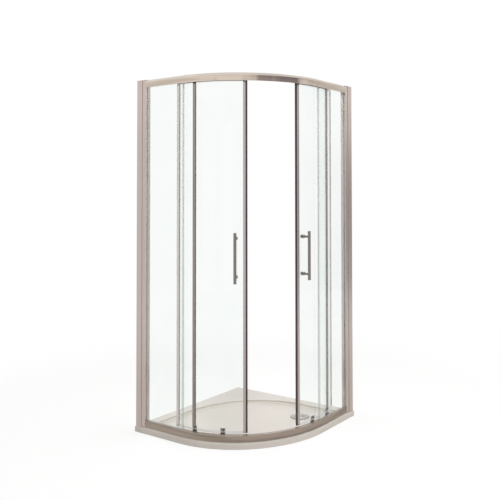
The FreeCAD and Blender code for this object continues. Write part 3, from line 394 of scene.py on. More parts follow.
@dataclass(frozen=True)
class MouldedFinish:
    """Moulded plastic, acrylic or rubber, or a ground edge.

    Attributes:
        name: The material's name.
        dark: Darker tone of the slow variation.
        light: Lighter tone of the slow variation.
        smooth: Lowest roughness.
        rough: Highest roughness.
        coat: Weight of a clear gloss over the colour.
        relief: Strength of the fine bump.
        fineness: Cells per metre of the fine bump.
        solid: How much of what lies behind it is hidden, from 0 to 1.
    """

    name: str
    dark: ScreenColour
    light: ScreenColour
    smooth: float
    rough: float
    coat: float = 0.0
    relief: float = 0.05
    fineness: float = 600.0
    solid: float = 1.0

    # Cells per metre and octaves of the slow variation, and octaves of the fine one.
    SLOW = (4.0, 3.0)
    FINE_DETAIL = 2.0
    COAT_ROUGHNESS = 0.06

    def build(self) -> bpy.types.Material:
        """Make the material.

        Returns:
            The material.
        """
        material, sheet, shader = new_material(self.name)
        slow = noise(sheet, *self.SLOW)
        fine = noise(sheet, self.fineness, self.FINE_DETAIL)
        set_inputs(shader, {"Coat Weight": self.coat, "Coat Roughness": self.COAT_ROUGHNESS,
                            "Alpha": self.solid})
        sheet.join(tone(sheet, slow, linear(self.dark), linear(self.light)), shader.inputs["Base Color"])
        sheet.join(spread(sheet, fine, self.smooth, self.rough), shader.inputs["Roughness"])
        raise_surface(sheet, shader, fine, self.relief)
        return material


Finish = MetalFinish | GlassFinish | MouldedFinish

POST_METAL = MetalFinish("post_aluminium", (206, 195, 191), (218, 207, 203), 0.2, 0.3, Grain.UPRIGHT)
EDGE_METAL = MetalFinish("edge_aluminium", (152, 144, 140), (168, 160, 156), 0.22, 0.32, Grain.UPRIGHT)
LEAD_METAL = MetalFinish("lead_aluminium", (192, 184, 184), (206, 198, 198), 0.2, 0.3, Grain.UPRIGHT)
# The top and bottom rails carry painted reflection streaks in their colour.
TOP_METAL = MetalFinish("top_rail_aluminium", (206, 195, 187), (222, 212, 199), 0.04, 0.1, Grain.LEVEL,
                        painted_reflection=0.15)
# Painted shade: the bottom rail is a darker copy of the frame's aluminium, as it lies low in the shade.
BASE_METAL = MetalFinish("base_rail_aluminium", (164, 153, 142), (180, 169, 158), 0.06, 0.14, Grain.LEVEL,
                         painted_reflection=0.2)
CHROME = MetalFinish("handle_chrome", (132, 125, 119), (148, 141, 135), 0.04, 0.1, Grain.UPRIGHT,
                     relief=0.01)
POLISHED = MetalFinish("polished_chrome", (184, 178, 174), (202, 197, 193), 0.04, 0.1, Grain.LEVEL,
                       relief=0.01)
DARK_CHROME = MetalFinish("fitting_chrome", (112, 107, 104), (132, 127, 124), 0.05, 0.12, Grain.LEVEL,
                          relief=0.01)
STEEL = MetalFinish("zinc_steel", (140, 138, 136), (160, 158, 156), 0.3, 0.45, Grain.UPRIGHT)
GLASS = GlassFinish("clear_glass", (250, 252, 251), (246, 250, 248))
GLASS_EDGE = MouldedFinish("ground_glass_edge", (232, 239, 236), (241, 246, 244), 0.3, 0.4, solid=0.95)
ACRYLIC = MouldedFinish("tray_acrylic", (227, 219, 210), (233, 225, 217), 0.16, 0.24, coat=0.4, relief=0.02,
                        fineness=250.0)
DARK_SEAL = MouldedFinish("magnet_seal", (60, 53, 51), (76, 68, 65), 0.35, 0.5)
CLEAR_SEAL = MouldedFinish("clear_seal", (236, 238, 238), (246, 247, 247), 0.25, 0.4, solid=0.18)
GREY_RUBBER = MouldedFinish("grey_rubber", (92, 90, 90), (108, 106, 106), 0.55, 0.7)
PALE_RUBBER = MouldedFinish("pale_rubber", (188, 184, 180), (204, 200, 196), 0.5, 0.6)
DARK_PLASTIC = MouldedFinish("guide_plastic", (78, 72, 69), (96, 90, 86), 0.3, 0.42)
ROLLER_PLASTIC = MouldedFinish("roller_plastic", (214, 212, 206), (226, 224, 218), 0.25, 0.35)
SEALANT = MouldedFinish("joint_sealant", (214, 209, 202), (226, 221, 214), 0.3, 0.45)

FIXED_FINISHES = {
    "shower_tray": ACRYLIC, "waste_flange": CHROME, "waste_cover": POLISHED, "top_rail": TOP_METAL,
    "bottom_rail": BASE_METAL, "door_stops": GREY_RUBBER, "wall_profile": POST_METAL,
    "side_post": POST_METAL, "profile_cap": TOP_METAL, "fixed_glass": GLASS,
    "glazing_gasket": PALE_RUBBER, "edge_seal": CLEAR_SEAL, "rail_brackets": STEEL,
    "adjuster_screws": STEEL, "rail_screws": STEEL,
}
DOOR_FINISHES = {
    "door_glass": GLASS, "magnet_seal": DARK_SEAL, "lead_profile": LEAD_METAL,
    "trail_profile": POST_METAL, "rear_stile": EDGE_METAL, "drip_seal": CLEAR_SEAL,
    "door_header": TOP_METAL, "handle_bar": CHROME, "handle_posts": DARK_CHROME, "handle_knobs": DARK_CHROME,
    "handle_washers": CLEAR_SEAL, "roller_hangers": STEEL, "roller_axles": STEEL,
    "guide_blocks": DARK_PLASTIC, "guide_screws": CHROME, "front_roller": ROLLER_PLASTIC,
    "rear_roller": ROLLER_PLASTIC,
}


class FinishShelf:
    """Builds each finish once and hands it out."""

    def __init__(self) -> None:
        """Start with an empty shelf."""
        self.made: dict[str, bpy.types.Material] = {}

    def take(self, finish: Finish) -> bpy.types.Material:
        """Give the material of a finish.

        Args:
            finish: The finish.

        Returns:
            Its material.
        """
        if finish.name not in self.made:
            self.made[finish.name] = finish.build()
        return self.made[finish.name]

    def dress(self, piece: bpy.types.Object, finish: Finish) -> None:
        """Put a finish on a piece.

        Args:
            piece: The mesh object.
            finish: The finish.
        """
        material = self.take(finish)
        if not piece.material_slots:
            piece.data.materials.append(material)
        for slot in piece.material_slots:
            slot.material = material


@dataclass
class PackedPieces:
    """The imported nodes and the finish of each.

    Attributes:
        nodes: The node objects by name.
        shelf: The finishes.
    """

    nodes: dict[str, bpy.types.Object]
    shelf: FinishShelf = field(default_factory=FinishShelf)

    def finish_of(self, name: str) -> Finish:
        """Look up the finish of a node by its name."""
        plain = name.removesuffix("_left").removesuffix("_right")
        return FIXED_FINISHES.get(plain) or DOOR_FINISHES[plain]

    def dress(self) -> None:
        """Put a finish on every node."""
        for name, piece in sorted(self.nodes.items()):
            self.shelf.dress(piece, self.finish_of(name))
            LOG.info("dressed %s", name)


ARC_CENTRE = (-0.1, 0.1)
ARC_ENDS = (-90.0, 0.0)
ARC_STEPS = 96
DOOR_SPANS = {Side.LEFT: (-96.41, -51.07), Side.RIGHT: (-17.23, 28.11)}
SMOOTH_ANGLE = math.radians(28)
FLAT_FACE_WEIGHT = 100


def put_in_scene(name: str, data: bpy.types.ID) -> bpy.types.Object:
    """Make an object and put it in the scene.

    Args:
        name: The object's name.
        data: Its mesh, lamp or camera.

    Returns:
        The object.
    """
    made = bpy.data.objects.new(name, data)
    bpy.context.scene.collection.objects.link(made)
    return made


def edge_object(name: str, points: list[Point], closed: bool = False) -> bpy.types.Object:
    """Make an object of edges through points.

    Args:
        name: The object's name.
        points: The points in metres.
        closed: Whether the last point joins the first.

    Returns:
        The object.
    """
    edges = [(index, index + 1) for index in range(len(points) - 1)]
    if closed:
        edges.append((len(points) - 1, 0))
    mesh = bpy.data.meshes.new(name)
    mesh.from_pydata(points, edges, [])
    return put_in_scene(name, mesh)


def plain_mesh(piece: bpy.types.Object) -> bpy.types.Mesh:
    """Give the mesh that a piece's modifiers make of it."""
    depsgraph = bpy.context.evaluated_depsgraph_get()
    return bpy.data.meshes.new_from_object(piece.evaluated_get(depsgraph))


def weigh_normals(piece: bpy.types.Object) -> None:
    """Let large faces keep their own direction where they run into small rounded ones.

    Args:
        piece: The piece that gets the modifier for it.
    """
    weighted = piece.modifiers.new("flat_faces_stay_flat", "WEIGHTED_NORMAL")
    weighted.keep_sharp = True
    weighted.weight = FLAT_FACE_WEIGHT


def keep_flat(piece: bpy.types.Object) -> None:
    """Give a piece a plain mesh with weighted normals in place of its own.

    Args:
        piece: The piece, which has no modifier before or after.
    """
    first = piece.data
    weigh_normals(piece)
    flat = plain_mesh(piece)
    piece.modifiers.clear()
    piece.data = flat
    bpy.data.meshes.remove(first)
    flat.name = piece.name


@dataclass(frozen=True)
class Section:
    """A closed outline of an extrusion, as distance outward from its path and height, in metres.

    Attributes:
        corners: The corners, clockwise when seen with the distance to the right and height up.
        rounding: Radius of the small rounding on each corner.
    """

    corners: tuple[Corner, ...]
    rounding: float = 0.0004

    # Points on each rounding, the angle from which a corner stays as it is, and how many times as long as
    # its roundings a side stays.
    STEPS = 3
    BLUNT = math.radians(150)
    SPARE = 2.5

    def points(self) -> list[Corner]:
        """Round the corners off.

        Returns:
            The outline's points.
        """
        result: list[Corner] = []
        count = len(self.corners)
        for index, corner in enumerate(self.corners):
            here = Vector(corner)
            before = Vector(self.corners[index - 1]) - here
            after = Vector(self.corners[(index + 1) % count]) - here
            if before.angle(after) > self.BLUNT:
                result.append(tuple(here))
                continue
            reach = min(self.rounding, before.length / self.SPARE, after.length / self.SPARE)
            start = here + before.normalized() * reach
            end = here + after.normalized() * reach
            for step in range(self.STEPS):
                share = step / (self.STEPS - 1)
                first = start.lerp(here, share)
                second = here.lerp(end, share)
                result.append(tuple(first.lerp(second, share)))
        return result

    def outline(self, name: str) -> bpy.types.Object:
        """Make the outline as an object with a name, which a sweep can read."""
        corners = [(reach, -height, 0.0) for reach, height in self.points()]
        return edge_object(name, corners, closed=True)


def geometry_tree(name: str, **extras: str) -> tuple[bpy.types.NodeTree, dict[str, str]]:
    """Start a Geometry Nodes tree that takes and gives geometry.

    Args:
        name: The tree's name.
        **extras: The kind of socket of each further input, by the input's name.

    Returns:
        The tree, and the identifier of each further input by its name.
    """
    tree = bpy.data.node_groups.new(name, "GeometryNodeTree")
    for way in ("INPUT", "OUTPUT"):
        tree.interface.new_socket(name="Geometry", in_out=way, socket_type="NodeSocketGeometry")
    identifiers = {}
    for label, kind in extras.items():
        made = tree.interface.new_socket(name=label, in_out="INPUT", socket_type=kind)
        identifiers[label] = made.identifier
    return tree, identifiers


class SweepTree:
    """A Geometry Nodes tree that runs a section along a path."""

    def __init__(self) -> None:
        """Build the tree."""
        self.tree, self.inputs = geometry_tree("sweep", Section="NodeSocketObject",
                                               Finish="NodeSocketMaterial")
        sheet = NodeSheet(self.tree)
        entry = sheet.add("NodeGroupInput")
        path = sheet.add("GeometryNodeMeshToCurve")
        upright = sheet.add("GeometryNodeSetCurveNormal", mode="Z_UP")
        outline = sheet.add("GeometryNodeObjectInfo")
        ring = sheet.add("GeometryNodeMeshToCurve")
        skin = sheet.add("GeometryNodeCurveToMesh", {"Fill Caps": True})
        whole = sheet.add("GeometryNodeRealizeInstances")
        paint = sheet.add("GeometryNodeSetMaterial")
        leave = sheet.add("NodeGroupOutput")
        sheet.join(entry.outputs["Geometry"], path.inputs["Mesh"])
        sheet.join(path.outputs["Curve"], upright.inputs["Curve"])
        sheet.join(entry.outputs["Section"], outline.inputs["Object"])
        sheet.join(outline.outputs["Geometry"], ring.inputs["Mesh"])
        sheet.join(upright.outputs["Curve"], skin.inputs["Curve"])
        sheet.join(ring.outputs["Curve"], skin.inputs["Profile Curve"])
        sheet.join(skin.outputs["Mesh"], whole.inputs["Geometry"])
        sheet.join(whole.outputs["Geometry"], paint.inputs["Geometry"])
        sheet.join(entry.outputs["Finish"], paint.inputs["Material"])
        sheet.join(paint.outputs["Geometry"], leave.inputs["Geometry"])

    def run(self, name: str, path: list[Point], section: Section,
            material: bpy.types.Material) -> bpy.types.Object:
        """Run a section along a path and keep the result as a plain mesh.

        Args:
            name: The new piece's name.
            path: The points that the section's zero runs through, at height 0.
            section: The section to run along the path.
            material: The finish.

        Returns:
            The piece.
        """
        outline = section.outline(name + "_outline")
        carrier = edge_object(name + "_path", path)
        modifier = carrier.modifiers.new("sweep", "NODES")
        modifier.node_group = self.tree
        modifier[self.inputs["Section"]] = outline
        modifier[self.inputs["Finish"]] = material
        mesh = plain_mesh(carrier)
        mesh.name = name
        for helper in (carrier, outline):
            bpy.data.objects.remove(helper)
        for face in mesh.polygons:
            face.use_smooth = True
        mesh.set_sharp_from_angle(angle=SMOOTH_ANGLE)
        piece = put_in_scene(name, mesh)
        keep_flat(piece)
        LOG.info("swept %s with %d faces", name, len(piece.data.polygons))
        return piece


def arc_path(radius: float, first: float, last: float, steps: int) -> list[Point]:
    """Points on an arc about the front's centre.

    Args:
        radius: The arc's radius in metres.
        first: The first angle in degrees from +X.
        last: The last angle in degrees from +X.
        steps: How many runs the arc has.

    Returns:
        The points.
    """
    x, y = ARC_CENTRE
    angles = [math.radians(first + (last - first) * step / steps) for step in range(steps + 1)]
    return [(x + radius * math.cos(angle), y + radius * math.sin(angle), 0.0) for angle in angles]


def front_path(radius: float, end: float) -> list[Point]:
    """Points along the enclosure's front: a straight run, the arc and a straight run.

    Args:
        radius: The arc's radius in metres.
        end: Length of each straight run.

    Returns:
        The points.
    """
    arc = arc_path(radius, *ARC_ENDS, ARC_STEPS)
    start = (arc[0][0] - end, arc[0][1], 0.0)
    finish = (arc[-1][0], arc[-1][1] + end, 0.0)
    return [start, *arc, finish]


def quarter(middle: Corner, width: float, height: float, steps: int) -> list[Corner]:
    """Points of a quarter round at an upper outer corner, from its side up to its top.

    Args:
        middle: The round's centre.
        width: Its radius outward.
        height: Its radius upward.
        steps: Runs of the round.

    Returns:
        The points.
    """
    angles = [math.pi / 2 * step / steps for step in range(steps + 1)]
    return [(middle[0] + width * math.cos(angle), middle[1] + height * math.sin(angle)) for angle in angles]


@dataclass
class Rails:
    """The bent top and bottom rails, swept smoothly from post to post.

    In the sections, depths run inward from the outer face as negative values, and heights run up from the
    floor. Both rails hold the fixed panes in the slot in front of the web.

    Attributes:
        sweep: The sweep tree.
        shelf: The finishes.
        straight: Length of each straight run.
    """

    sweep: SweepTree
    shelf: FinishShelf
    straight: float = 0.28

    OUTER_RADIUS = 0.542
    # Thickness of the walls, and depths of the glass slot, the web behind it, its rear face and the back.
    WALL = 0.0025
    SLOT = -0.009
    WEB = -0.019
    BEHIND = -0.0215
    BACK = -0.04
    # Radius and steps of each outer upper edge.
    TOP_ROUND = (0.016, 12)
    BASE_ROUND = (0.005, 6)
    SLOT_FLOOR = 0.058
    # The strip that closes the slot: its middle line, half its width, and heights of its sides and crown.
    INFILL_RADIUS = 0.528
    INFILL_HALF = 0.0049
    INFILL_SIDE = 0.0688
    INFILL_CROWN = 0.0698

    def build(self) -> None:
        """Make both rails in place of the faceted ones, and close the lower one's slot."""
        self.run("top_rail_skin", "top_rail", self.top_section(), TOP_METAL)
        self.run("bottom_rail_skin", "bottom_rail", self.bottom_section(), BASE_METAL)
        self.infill()

    def infill(self) -> None:
        """Close the bottom rail's glass slot along the curve, where it holds no pane."""
        half, base, side, crown = self.INFILL_HALF, self.SLOT_FLOOR, self.INFILL_SIDE, self.INFILL_CROWN
        section = Section(((half, base), (-half, base), (-half, side), (0.0, crown), (half, side)))
        path = arc_path(self.INFILL_RADIUS, *ARC_ENDS, ARC_STEPS)
        piece = self.sweep.run("slot_infill", path, section, self.shelf.take(TOP_METAL))
        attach(piece, "enclosure_frame")

    def run(self, name: str, node: str, section: Section, finish: MetalFinish) -> None:
        """Sweep one rail.

        Args:
            name: The piece's name.
            node: The node that it stands for.
            section: Its section, as depth behind the outer face and height.
            finish: Its finish.
        """
        path = front_path(self.OUTER_RADIUS, self.straight)
        piece = self.sweep.run(name, path, section, self.shelf.take(finish))
        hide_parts(node)
        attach(piece, "enclosure_frame")

    def top_section(self) -> Section:
        """The top rail's section: outer face, roof, roller track and glass slot.

        Returns:
            The section.
        """
        top, roof, slot_roof, hollow = 1.98, 1.9775, 1.974, 1.968
        lip_top, lip_base, foot, skirt = 1.9565, 1.9545, 1.945, 1.935
        fascia, rib, lip = -self.WALL, -0.0065, -0.027
        slot, web, behind, back = self.SLOT, self.WEB, self.BEHIND, self.BACK
        radius, steps = self.TOP_ROUND
        rounded = quarter((-radius, top - radius), radius, radius, steps)
        return Section((
            (0.0, skirt), *rounded, (back, top), (back, roof), (behind, roof), (behind, lip_top),
            (lip, lip_top), (lip, lip_base), (behind, lip_base), (behind, foot), (web, foot),
            (web, slot_roof), (slot, slot_roof), (slot, foot), (rib, foot), (rib, hollow), (fascia, hollow),
            (fascia, skirt),
        )[::-1])

    def bottom_section(self) -> Section:
        """The bottom rail's section: outer face, glass slot, shelf and inner lip.

        Returns:
            The section.
        """
        base, top, shelf, lip, ledge = 0.03, 0.07, 0.042, 0.046, -0.0375
        slot, web, behind, back = self.SLOT, self.WEB, self.BEHIND, self.BACK
        floor, wall = self.SLOT_FLOOR, self.WALL
        radius, steps = self.BASE_ROUND
        rounded = quarter((-radius, top - radius), radius, radius, steps)
        return Section((
            (0.0, base), *rounded, (slot, top), (slot, floor), (web, floor), (web, top), (behind, top),
            (behind, shelf), (ledge, shelf), (ledge, lip), (back, lip), (back, base), (ledge, base),
            (ledge, shelf - wall), (web, shelf - wall), (web, floor - wall), (-wall, floor - wall),
            (-wall, base),
        )[::-1])


@dataclass
class Panes:
    """The four panes with their ground edges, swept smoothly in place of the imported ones.

    Attributes:
        sweep: The sweep tree.
        shelf: The finishes.
    """

    sweep: SweepTree
    shelf: FinishShelf

    DOOR_RADIUS = 0.512
    DOOR_EDGES = (0.078, 1.9488)
    DOOR_STEPS = 90
    FIXED_LINE = 0.428
    FIXED_RUN = (-0.39, -0.1)
    FIXED_EDGES = (0.06, 1.965)
    HALF_THICKNESS = 0.003
    ARRIS = 0.0006
    # A face that looks less than this share across the pane belongs to its ground edge.
    EDGE_SHARE = 0.5

    def build(self) -> None:
        """Make the fixed panes and the door panes."""
        start, end = self.FIXED_RUN
        line = self.FIXED_LINE
        runs = {
            Side.LEFT: [(start, -line, 0.0), (end, -line, 0.0)],
            Side.RIGHT: [(line, -end, 0.0), (line, -start, 0.0)],
        }
        for side in Side:
            self.pane("fixed_glass_" + side.value, "enclosure_frame", runs[side], self.FIXED_EDGES)
            path = arc_path(self.DOOR_RADIUS, *DOOR_SPANS[side], self.DOOR_STEPS)
            self.pane("door_glass_" + side.value, side.value + "_door", path, self.DOOR_EDGES)

    def pane(self, node: str, body: str, path: list[Point], edges: tuple[float, float]) -> None:
        """Make one pane.

        Args:
            node: The node that it stands for.
            body: The body that it moves with.
            path: Its middle line.
            edges: Heights of its lower and upper edge.
        """
        half = self.HALF_THICKNESS
        low, high = edges
        section = Section(((half, low), (-half, low), (-half, high), (half, high)), self.ARRIS)
        piece = self.sweep.run(node + "_skin", path, section, self.shelf.take(GLASS))
        piece.data.materials.append(self.shelf.take(GLASS_EDGE))
        straight = len(path) == 2
        run = Vector(path[-1]) - Vector(path[0])
        sideways = Vector((run.y, -run.x, 0.0)).normalized()
        for face in piece.data.polygons:
            across = sideways if straight else self.arc_across(face.center)
            if abs(face.normal.dot(across)) < self.EDGE_SHARE:
                face.material_index = 1
        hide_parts(node)
        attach(piece, body)

    @staticmethod
    def arc_across(place: Vector) -> Vector:
        """Give the level direction across a curved pane at a place on it, one metre long."""
        return Vector((place.x - ARC_CENTRE[0], place.y - ARC_CENTRE[1], 0.0)).normalized()


@dataclass
class SealantBead:
    """The joint sealant where the bottom rail stands on the tray.

    Attributes:
        sweep: The sweep tree.
        shelf: The finishes.
    """

    sweep: SweepTree
    shelf: FinishShelf

    WIDTH = 0.0042
    HEIGHT = 0.0036
    TRAY_TOP = 0.03
    STRAIGHT = 0.278
    STEPS = 6
    # How far the bead reaches into the rail and into the tray.
    OVERLAPS = (0.0004, 0.0002)

    def build(self) -> None:
        """Run the bead along the rail's outer face."""
        into_rail, into_tray = self.OVERLAPS
        middle = (-into_rail, self.TRAY_TOP - into_tray)
        points = (middle, *quarter(middle, self.WIDTH, self.HEIGHT, self.STEPS))
        path = front_path(Rails.OUTER_RADIUS, self.STRAIGHT)
        section = Section(points[::-1], 0.0)
        piece = self.sweep.run("sealant_bead", path, section, self.shelf.take(SEALANT))
        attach(piece, "enclosure_frame")


@dataclass
class SmoothNodes:
    """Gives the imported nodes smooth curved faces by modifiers; their meshes stay as they are.

    Attributes:
        nodes: The node objects by name.
    """

    nodes: dict[str, bpy.types.Object]

    JOIN_DISTANCE = 0.00001

    def tree(self) -> bpy.types.NodeTree:
        """Make the tree that joins the loose triangles and keeps sharp edges sharp.

        Returns:
            The tree.
        """
        tree, _ = geometry_tree("smooth_faces")
        sheet = NodeSheet(tree)
        entry = sheet.add("NodeGroupInput")
        merge = sheet.add("GeometryNodeMergeByDistance", {"Distance": self.JOIN_DISTANCE})
        angle = sheet.add("GeometryNodeInputMeshEdgeAngle")
        small = sheet.add("FunctionNodeCompare", data_type="FLOAT", operation="LESS_THAN")
        set_inputs(small, {"B": SMOOTH_ANGLE})
        faces = sheet.add("GeometryNodeSetShadeSmooth", domain="FACE")
        edges = sheet.add("GeometryNodeSetShadeSmooth", domain="EDGE")
        leave = sheet.add("NodeGroupOutput")
        sheet.join(entry.outputs["Geometry"], merge.inputs["Geometry"])
        sheet.join(merge.outputs["Geometry"], faces.inputs["Geometry"])
        sheet.join(faces.outputs["Geometry"], edges.inputs["Geometry"])
        sheet.join(angle.outputs["Unsigned Angle"], small.inputs["A"])
        sheet.join(small.outputs["Result"], edges.inputs["Shade Smooth"])
        sheet.join(edges.outputs["Geometry"], leave.inputs["Geometry"])
        return tree

    def build(self) -> None:
        """Add the modifiers to every node."""
        tree = self.tree()
        for piece in self.nodes.values():
            joined = piece.modifiers.new("smooth_faces", "NODES")
            joined.node_group = tree
            weigh_normals(piece)


@dataclass(frozen=True)
class Viewpoint:
    """The camera's place and lens, as the photograph was taken.

    Attributes:
        place: The camera's place in metres.
        turn: Turn from looking along +Y, in radians, to the left.
        tilt: Angle above level, in radians.
        lean: Roll about the line of sight, in radians.
        focal: Focal length in picture widths.
        middle: The lens's axis in the picture, from its left and top, in picture widths.
    """

    place: Point = (2.52786, -3.11395, 1.34186)
    turn: float = 0.58141
    tilt: float = 0.02642
    lean: float = -0.00341
    focal: float = 1.36003
    middle: tuple[float, float] = (0.63285, 0.34800)

    SENSOR_WIDTH = 36.0

    def build(self) -> None:
        """Make the camera and set it as the scene's own."""
        ahead = Vector((-math.sin(self.turn) * math.cos(self.tilt),
                        math.cos(self.turn) * math.cos(self.tilt), math.sin(self.tilt)))
        across = Vector((math.cos(self.turn), math.sin(self.turn), 0.0))
        above = across.cross(ahead)
        right = across * math.cos(self.lean) + above * math.sin(self.lean)
        up = above * math.cos(self.lean) - across * math.sin(self.lean)
        data = bpy.data.cameras.new("camera")
        data.sensor_width = self.SENSOR_WIDTH
        data.lens = self.SENSOR_WIDTH * self.focal
        data.shift_x = 0.5 - self.middle[0]
        data.shift_y = self.middle[1] - 0.5
        camera = put_in_scene("camera", data)
        turn = Matrix((right, up, -ahead)).transposed().to_4x4()
        camera.matrix_world = Matrix.Translation(self.place) @ turn
        bpy.context.scene.camera = camera


@dataclass(frozen=True)
class RoomBand:
    """An upright band far around the object, which gives the metal something to reflect.

    Attributes:
        name: The band's name.
        heights: Its lower and upper edge in metres.
        dark: Its darker tone.
        light: Its lighter tone.
        stretch: Scale of its pattern along X, Y and Z.
        span: Its first and last angle from +X, in degrees.
        radius: Its distance from the middle, in metres.
        fade: Where it turns clear: degrees at its ends, and metres at its upper and lower edge.
    """

    name: str
    heights: tuple[float, float]
    dark: Colour
    light: Colour
    stretch: Point
    span: tuple[float, float] = (0.0, 360.0)
    radius: float = 6.0
    fade: tuple[float, float] | None = None

    # Degrees of each flat run, cells per metre and octaves of the pattern, and its readings at the tones.
    RUN = 5.0
    PATTERN = (0.9, 1.0)
    READINGS = (0.4, 0.56)

    def build(self) -> None:
        """Make the band, which is meant for reflections alone."""
        first, last = self.span
        steps = round((last - first) / self.RUN)
        points = []
        for step in range(steps + 1):
            angle = math.radians(first + step * self.RUN)
            for level in self.heights:
                points.append((self.radius * math.cos(angle), self.radius * math.sin(angle), level))
        faces = [(2 * step, 2 * step + 2, 2 * step + 3, 2 * step + 1) for step in range(steps)]
        mesh = bpy.data.meshes.new(self.name)
        mesh.from_pydata(points, [], faces)
        band = put_in_scene(self.name, mesh)
        mesh.materials.append(self.paint())
        band.visible_camera = False
        band.visible_diffuse = False
        band.visible_transmission = False
        band.visible_volume_scatter = False
        band.visible_shadow = False

    def paint(self) -> bpy.types.Material:
        """Make the band's glowing tones.

        Returns:
            The material.
        """
        material, sheet, _ = new_material(self.name + "_tones")
        glow = sheet.add("ShaderNodeEmission")
        pattern = noise(sheet, *self.PATTERN, self.stretch)
        sheet.join(tone(sheet, pattern, self.dark, self.light, *self.READINGS), glow.inputs["Color"])
        whole = glow.outputs["Emission"]
        if self.fade:
            clear = sheet.add("ShaderNodeBsdfTransparent")
            whole = blend_shaders(sheet, self.presence(sheet), clear.outputs["BSDF"], whole)
        sheet.show(whole)
        return material

    def presence(self, sheet: NodeSheet) -> Socket:
        """A value that is 1 in the band's middle and 0 at its edges.

        Args:
            sheet: The node sheet.

        Returns:
            The value's socket.
        """
        ends, edges = self.fade
        first, last = self.span
        low, high = self.heights
        centre = math.radians((first + last) / 2)
        half_span = math.radians((last - first) / 2)
        half_height = (high - low) / 2
        heading = (math.cos(centre) / self.radius, math.sin(centre) / self.radius, 0.0)
        place = sheet.add("ShaderNodeTexCoord").outputs["Object"]
        towards = sheet.add("ShaderNodeVectorMath", {1: heading}, operation="DOT_PRODUCT")
        sheet.join(place, towards.inputs[0])
        parts = sheet.add("ShaderNodeSeparateXYZ")
        sheet.join(place, parts.inputs["Vector"])
        distance = sheet.reckon("ABSOLUTE", sheet.reckon("SUBTRACT", parts.outputs["Z"], (low + high) / 2))
        full_share = math.cos(half_span - math.radians(ends))
        sideways = soft_step(sheet, towards.outputs["Value"], math.cos(half_span), full_share)
        upward = soft_step(sheet, distance, half_height, half_height - edges)
        return sheet.reckon("MULTIPLY", sideways, upward)


@dataclass(frozen=True)
class SoftLamp:
    """A soft square lamp that faces the middle of the object and shows in no reflection.

    Attributes:
        name: The lamp's name.
        place: Its place in metres.
        power: Its power in watts.
        size: Its side in metres.
    """

    name: str
    place: Point
    power: float
    size: float

    AIM = (0.0, 0.0, 1.0)

    def build(self) -> None:
        """Add the lamp."""
        data = bpy.data.lights.new(self.name, "AREA")
        data.energy = self.power
        data.size = self.size
        lamp = put_in_scene(self.name, data)
        lamp.location = self.place
        aim = Vector(self.AIM) - Vector(self.place)
        lamp.rotation_euler = aim.to_track_quat("-Z", "Y").to_euler()
        lamp.visible_glossy = False


CALM = (1.0, 1.0, 0.2)
LIVELY = (0.5, 0.5, 1.5)
BANDS = (
    RoomBand("room_walls", (0.0, 2.3), (0.74, 0.72, 0.72), (1.0, 0.99, 0.98), CALM),
    RoomBand("room_cornice", (2.3, 3.5), (0.72, 0.69, 0.67), (0.94, 0.9, 0.86), LIVELY),
    RoomBand("dark_wall", (-2.7, 2.7), (0.4, 0.38, 0.38), (0.48, 0.46, 0.45), CALM,
             span=(5.0, 85.0), radius=5.8, fade=(12.0, 1.3)),
    RoomBand("dark_cornice", (2.2, 3.6), (0.3, 0.26, 0.28), (0.42, 0.38, 0.39), CALM,
             span=(-40.0, 20.0), radius=5.9, fade=(7.0, 0.35)),
)
LAMPS = (
    SoftLamp("key_lamp", (1.6, -3.4, 4.4), power=24.0, size=2.6),
    SoftLamp("fill_lamp", (4.4, 0.2, 2.6), power=42.0, size=2.4),
    SoftLamp("top_lamp", (0.0, 0.2, 4.8), power=88.0, size=2.4),
)


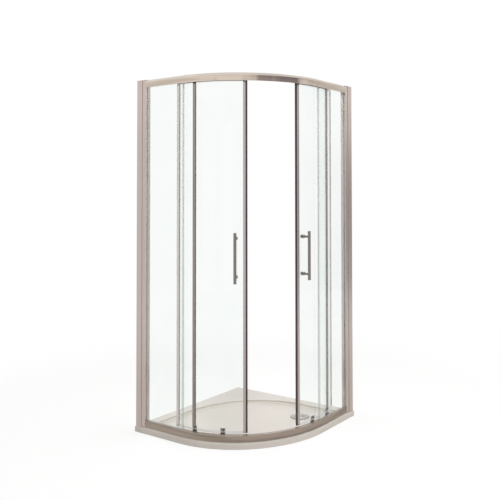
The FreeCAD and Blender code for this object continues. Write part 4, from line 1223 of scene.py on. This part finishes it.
@dataclass
class Studio:
    """Pale floor, white surroundings and soft lamps.

    Attributes:
        floor_size: Side of the floor in metres.
        ambient: Strength of the surroundings' light on the object.
        near_glow: Share of the floor's own white near the object; the rest takes the shadow.
        fade: Distances from the object between which the floor turns to plain white.
    """

    floor_size: float = 60.0
    ambient: float = 0.4
    near_glow: float = 0.6
    fade: tuple[float, float] = (1.4, 3.4)

    FLOOR_LEVEL = -0.0005
    FLOOR_PAINT = (0.82, 0.82, 0.82, 1.0)
    FLOOR_ROUGHNESS = 0.9
    # Strength of the floor's own white near the object, and its tones near and far in reflections.
    FLOOR_WHITE = 1.2
    FLOOR_WARM = (0.72, 0.68, 0.65)
    FLOOR_CALM = (0.8, 0.77, 0.76)
    SKY = (1.0, 0.985, 0.97, 1.0)
    WHITE = (1.0, 1.0, 1.0, 1.0)

    def build(self) -> None:
        """Make the floor, the surroundings and the lamps."""
        self.make_floor()
        for band in BANDS:
            band.build()
        self.make_surroundings()
        for lamp in LAMPS:
            lamp.build()

    def make_floor(self) -> None:
        """Make a pale floor that keeps the object's shadow and shows as white to the camera."""
        half = self.floor_size / 2
        corners = [(-half, -half, 0), (half, -half, 0), (half, half, 0), (-half, half, 0)]
        mesh = bpy.data.meshes.new("floor")
        mesh.from_pydata(corners, [], [(0, 1, 2, 3)])
        mesh.materials.append(self.floor_paint())
        floor = put_in_scene("floor", mesh)
        floor.location.z = self.FLOOR_LEVEL

    def floor_paint(self) -> bpy.types.Material:
        """Make the floor's material, which shows other tones in reflections than to the camera.

        Returns:
            The material.
        """
        material, sheet, shader = new_material("floor_paint")
        set_inputs(shader, {"Base Color": self.FLOOR_PAINT, "Roughness": self.FLOOR_ROUGHNESS,
                            "Specular IOR Level": 0.0})
        far = self.distance_fade(sheet)
        glow = sheet.add("ShaderNodeEmission")
        sheet.join(spread(sheet, far, self.FLOOR_WHITE, 1.0), glow.inputs["Strength"])
        path = sheet.add("ShaderNodeLightPath")
        through = path.outputs["Is Transmission Ray"]
        seen = sheet.reckon("MAXIMUM", path.outputs["Is Camera Ray"], through)
        share = sheet.reckon("MULTIPLY", seen, spread(sheet, far, self.near_glow, 1.0))
        direct = blend_shaders(sheet, share, shader.outputs["BSDF"], glow.outputs["Emission"])
        warm = plain_glow(sheet, self.FLOOR_WARM)
        calm = plain_glow(sheet, self.FLOOR_CALM)
        mirrored = blend_shaders(sheet, far, warm, calm)
        bounced = sheet.reckon("SUBTRACT", path.outputs["Is Glossy Ray"], through, use_clamp=True)
        sheet.show(blend_shaders(sheet, bounced, direct, mirrored))
        return material

    def distance_fade(self, sheet: NodeSheet) -> Socket:
        """A value that is 0 on the floor near the object and 1 far from it.

        Args:
            sheet: The node sheet.

        Returns:
            The value's socket.
        """
        place = sheet.add("ShaderNodeTexCoord")
        length = sheet.add("ShaderNodeVectorMath", operation="LENGTH")
        sheet.join(place.outputs["Object"], length.inputs[0])
        return soft_step(sheet, length.outputs["Value"], *self.fade)

    def make_surroundings(self) -> None:
        """Make the world: white where it is seen, softer where it lights."""
        world = bpy.data.worlds.new("surroundings")
        bpy.context.scene.world = world
        world.use_nodes = True
        sheet = NodeSheet(world.node_tree)
        light = world.node_tree.nodes["Background"]
        set_inputs(light, {"Color": self.SKY, "Strength": self.ambient})
        white = sheet.add("ShaderNodeBackground", {"Color": self.WHITE})
        path = sheet.add("ShaderNodeLightPath")
        seen = sheet.reckon("MAXIMUM", path.outputs["Is Camera Ray"], path.outputs["Is Glossy Ray"])
        seen = sheet.reckon("MAXIMUM", seen, path.outputs["Is Transmission Ray"])
        whole = blend_shaders(sheet, seen, light.outputs["Background"], white.outputs["Background"])
        sheet.show(whole, "World")


def main() -> None:
    """Build the camera, dress the pieces and light them."""
    logging.basicConfig(level=logging.INFO, format="%(name)s: %(message)s")
    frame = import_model()
    bpy.context.scene.view_settings.view_transform = "Standard"
    Viewpoint().build()
    pieces = PackedPieces(frame["nodes"])
    pieces.dress()
    SmoothNodes(frame["nodes"]).build()
    sweep = SweepTree()
    Rails(sweep, pieces.shelf).build()
    Panes(sweep, pieces.shelf).build()
    SealantBead(sweep, pieces.shelf).build()
    Studio().build()


if __name__ == "__main__":
    main()
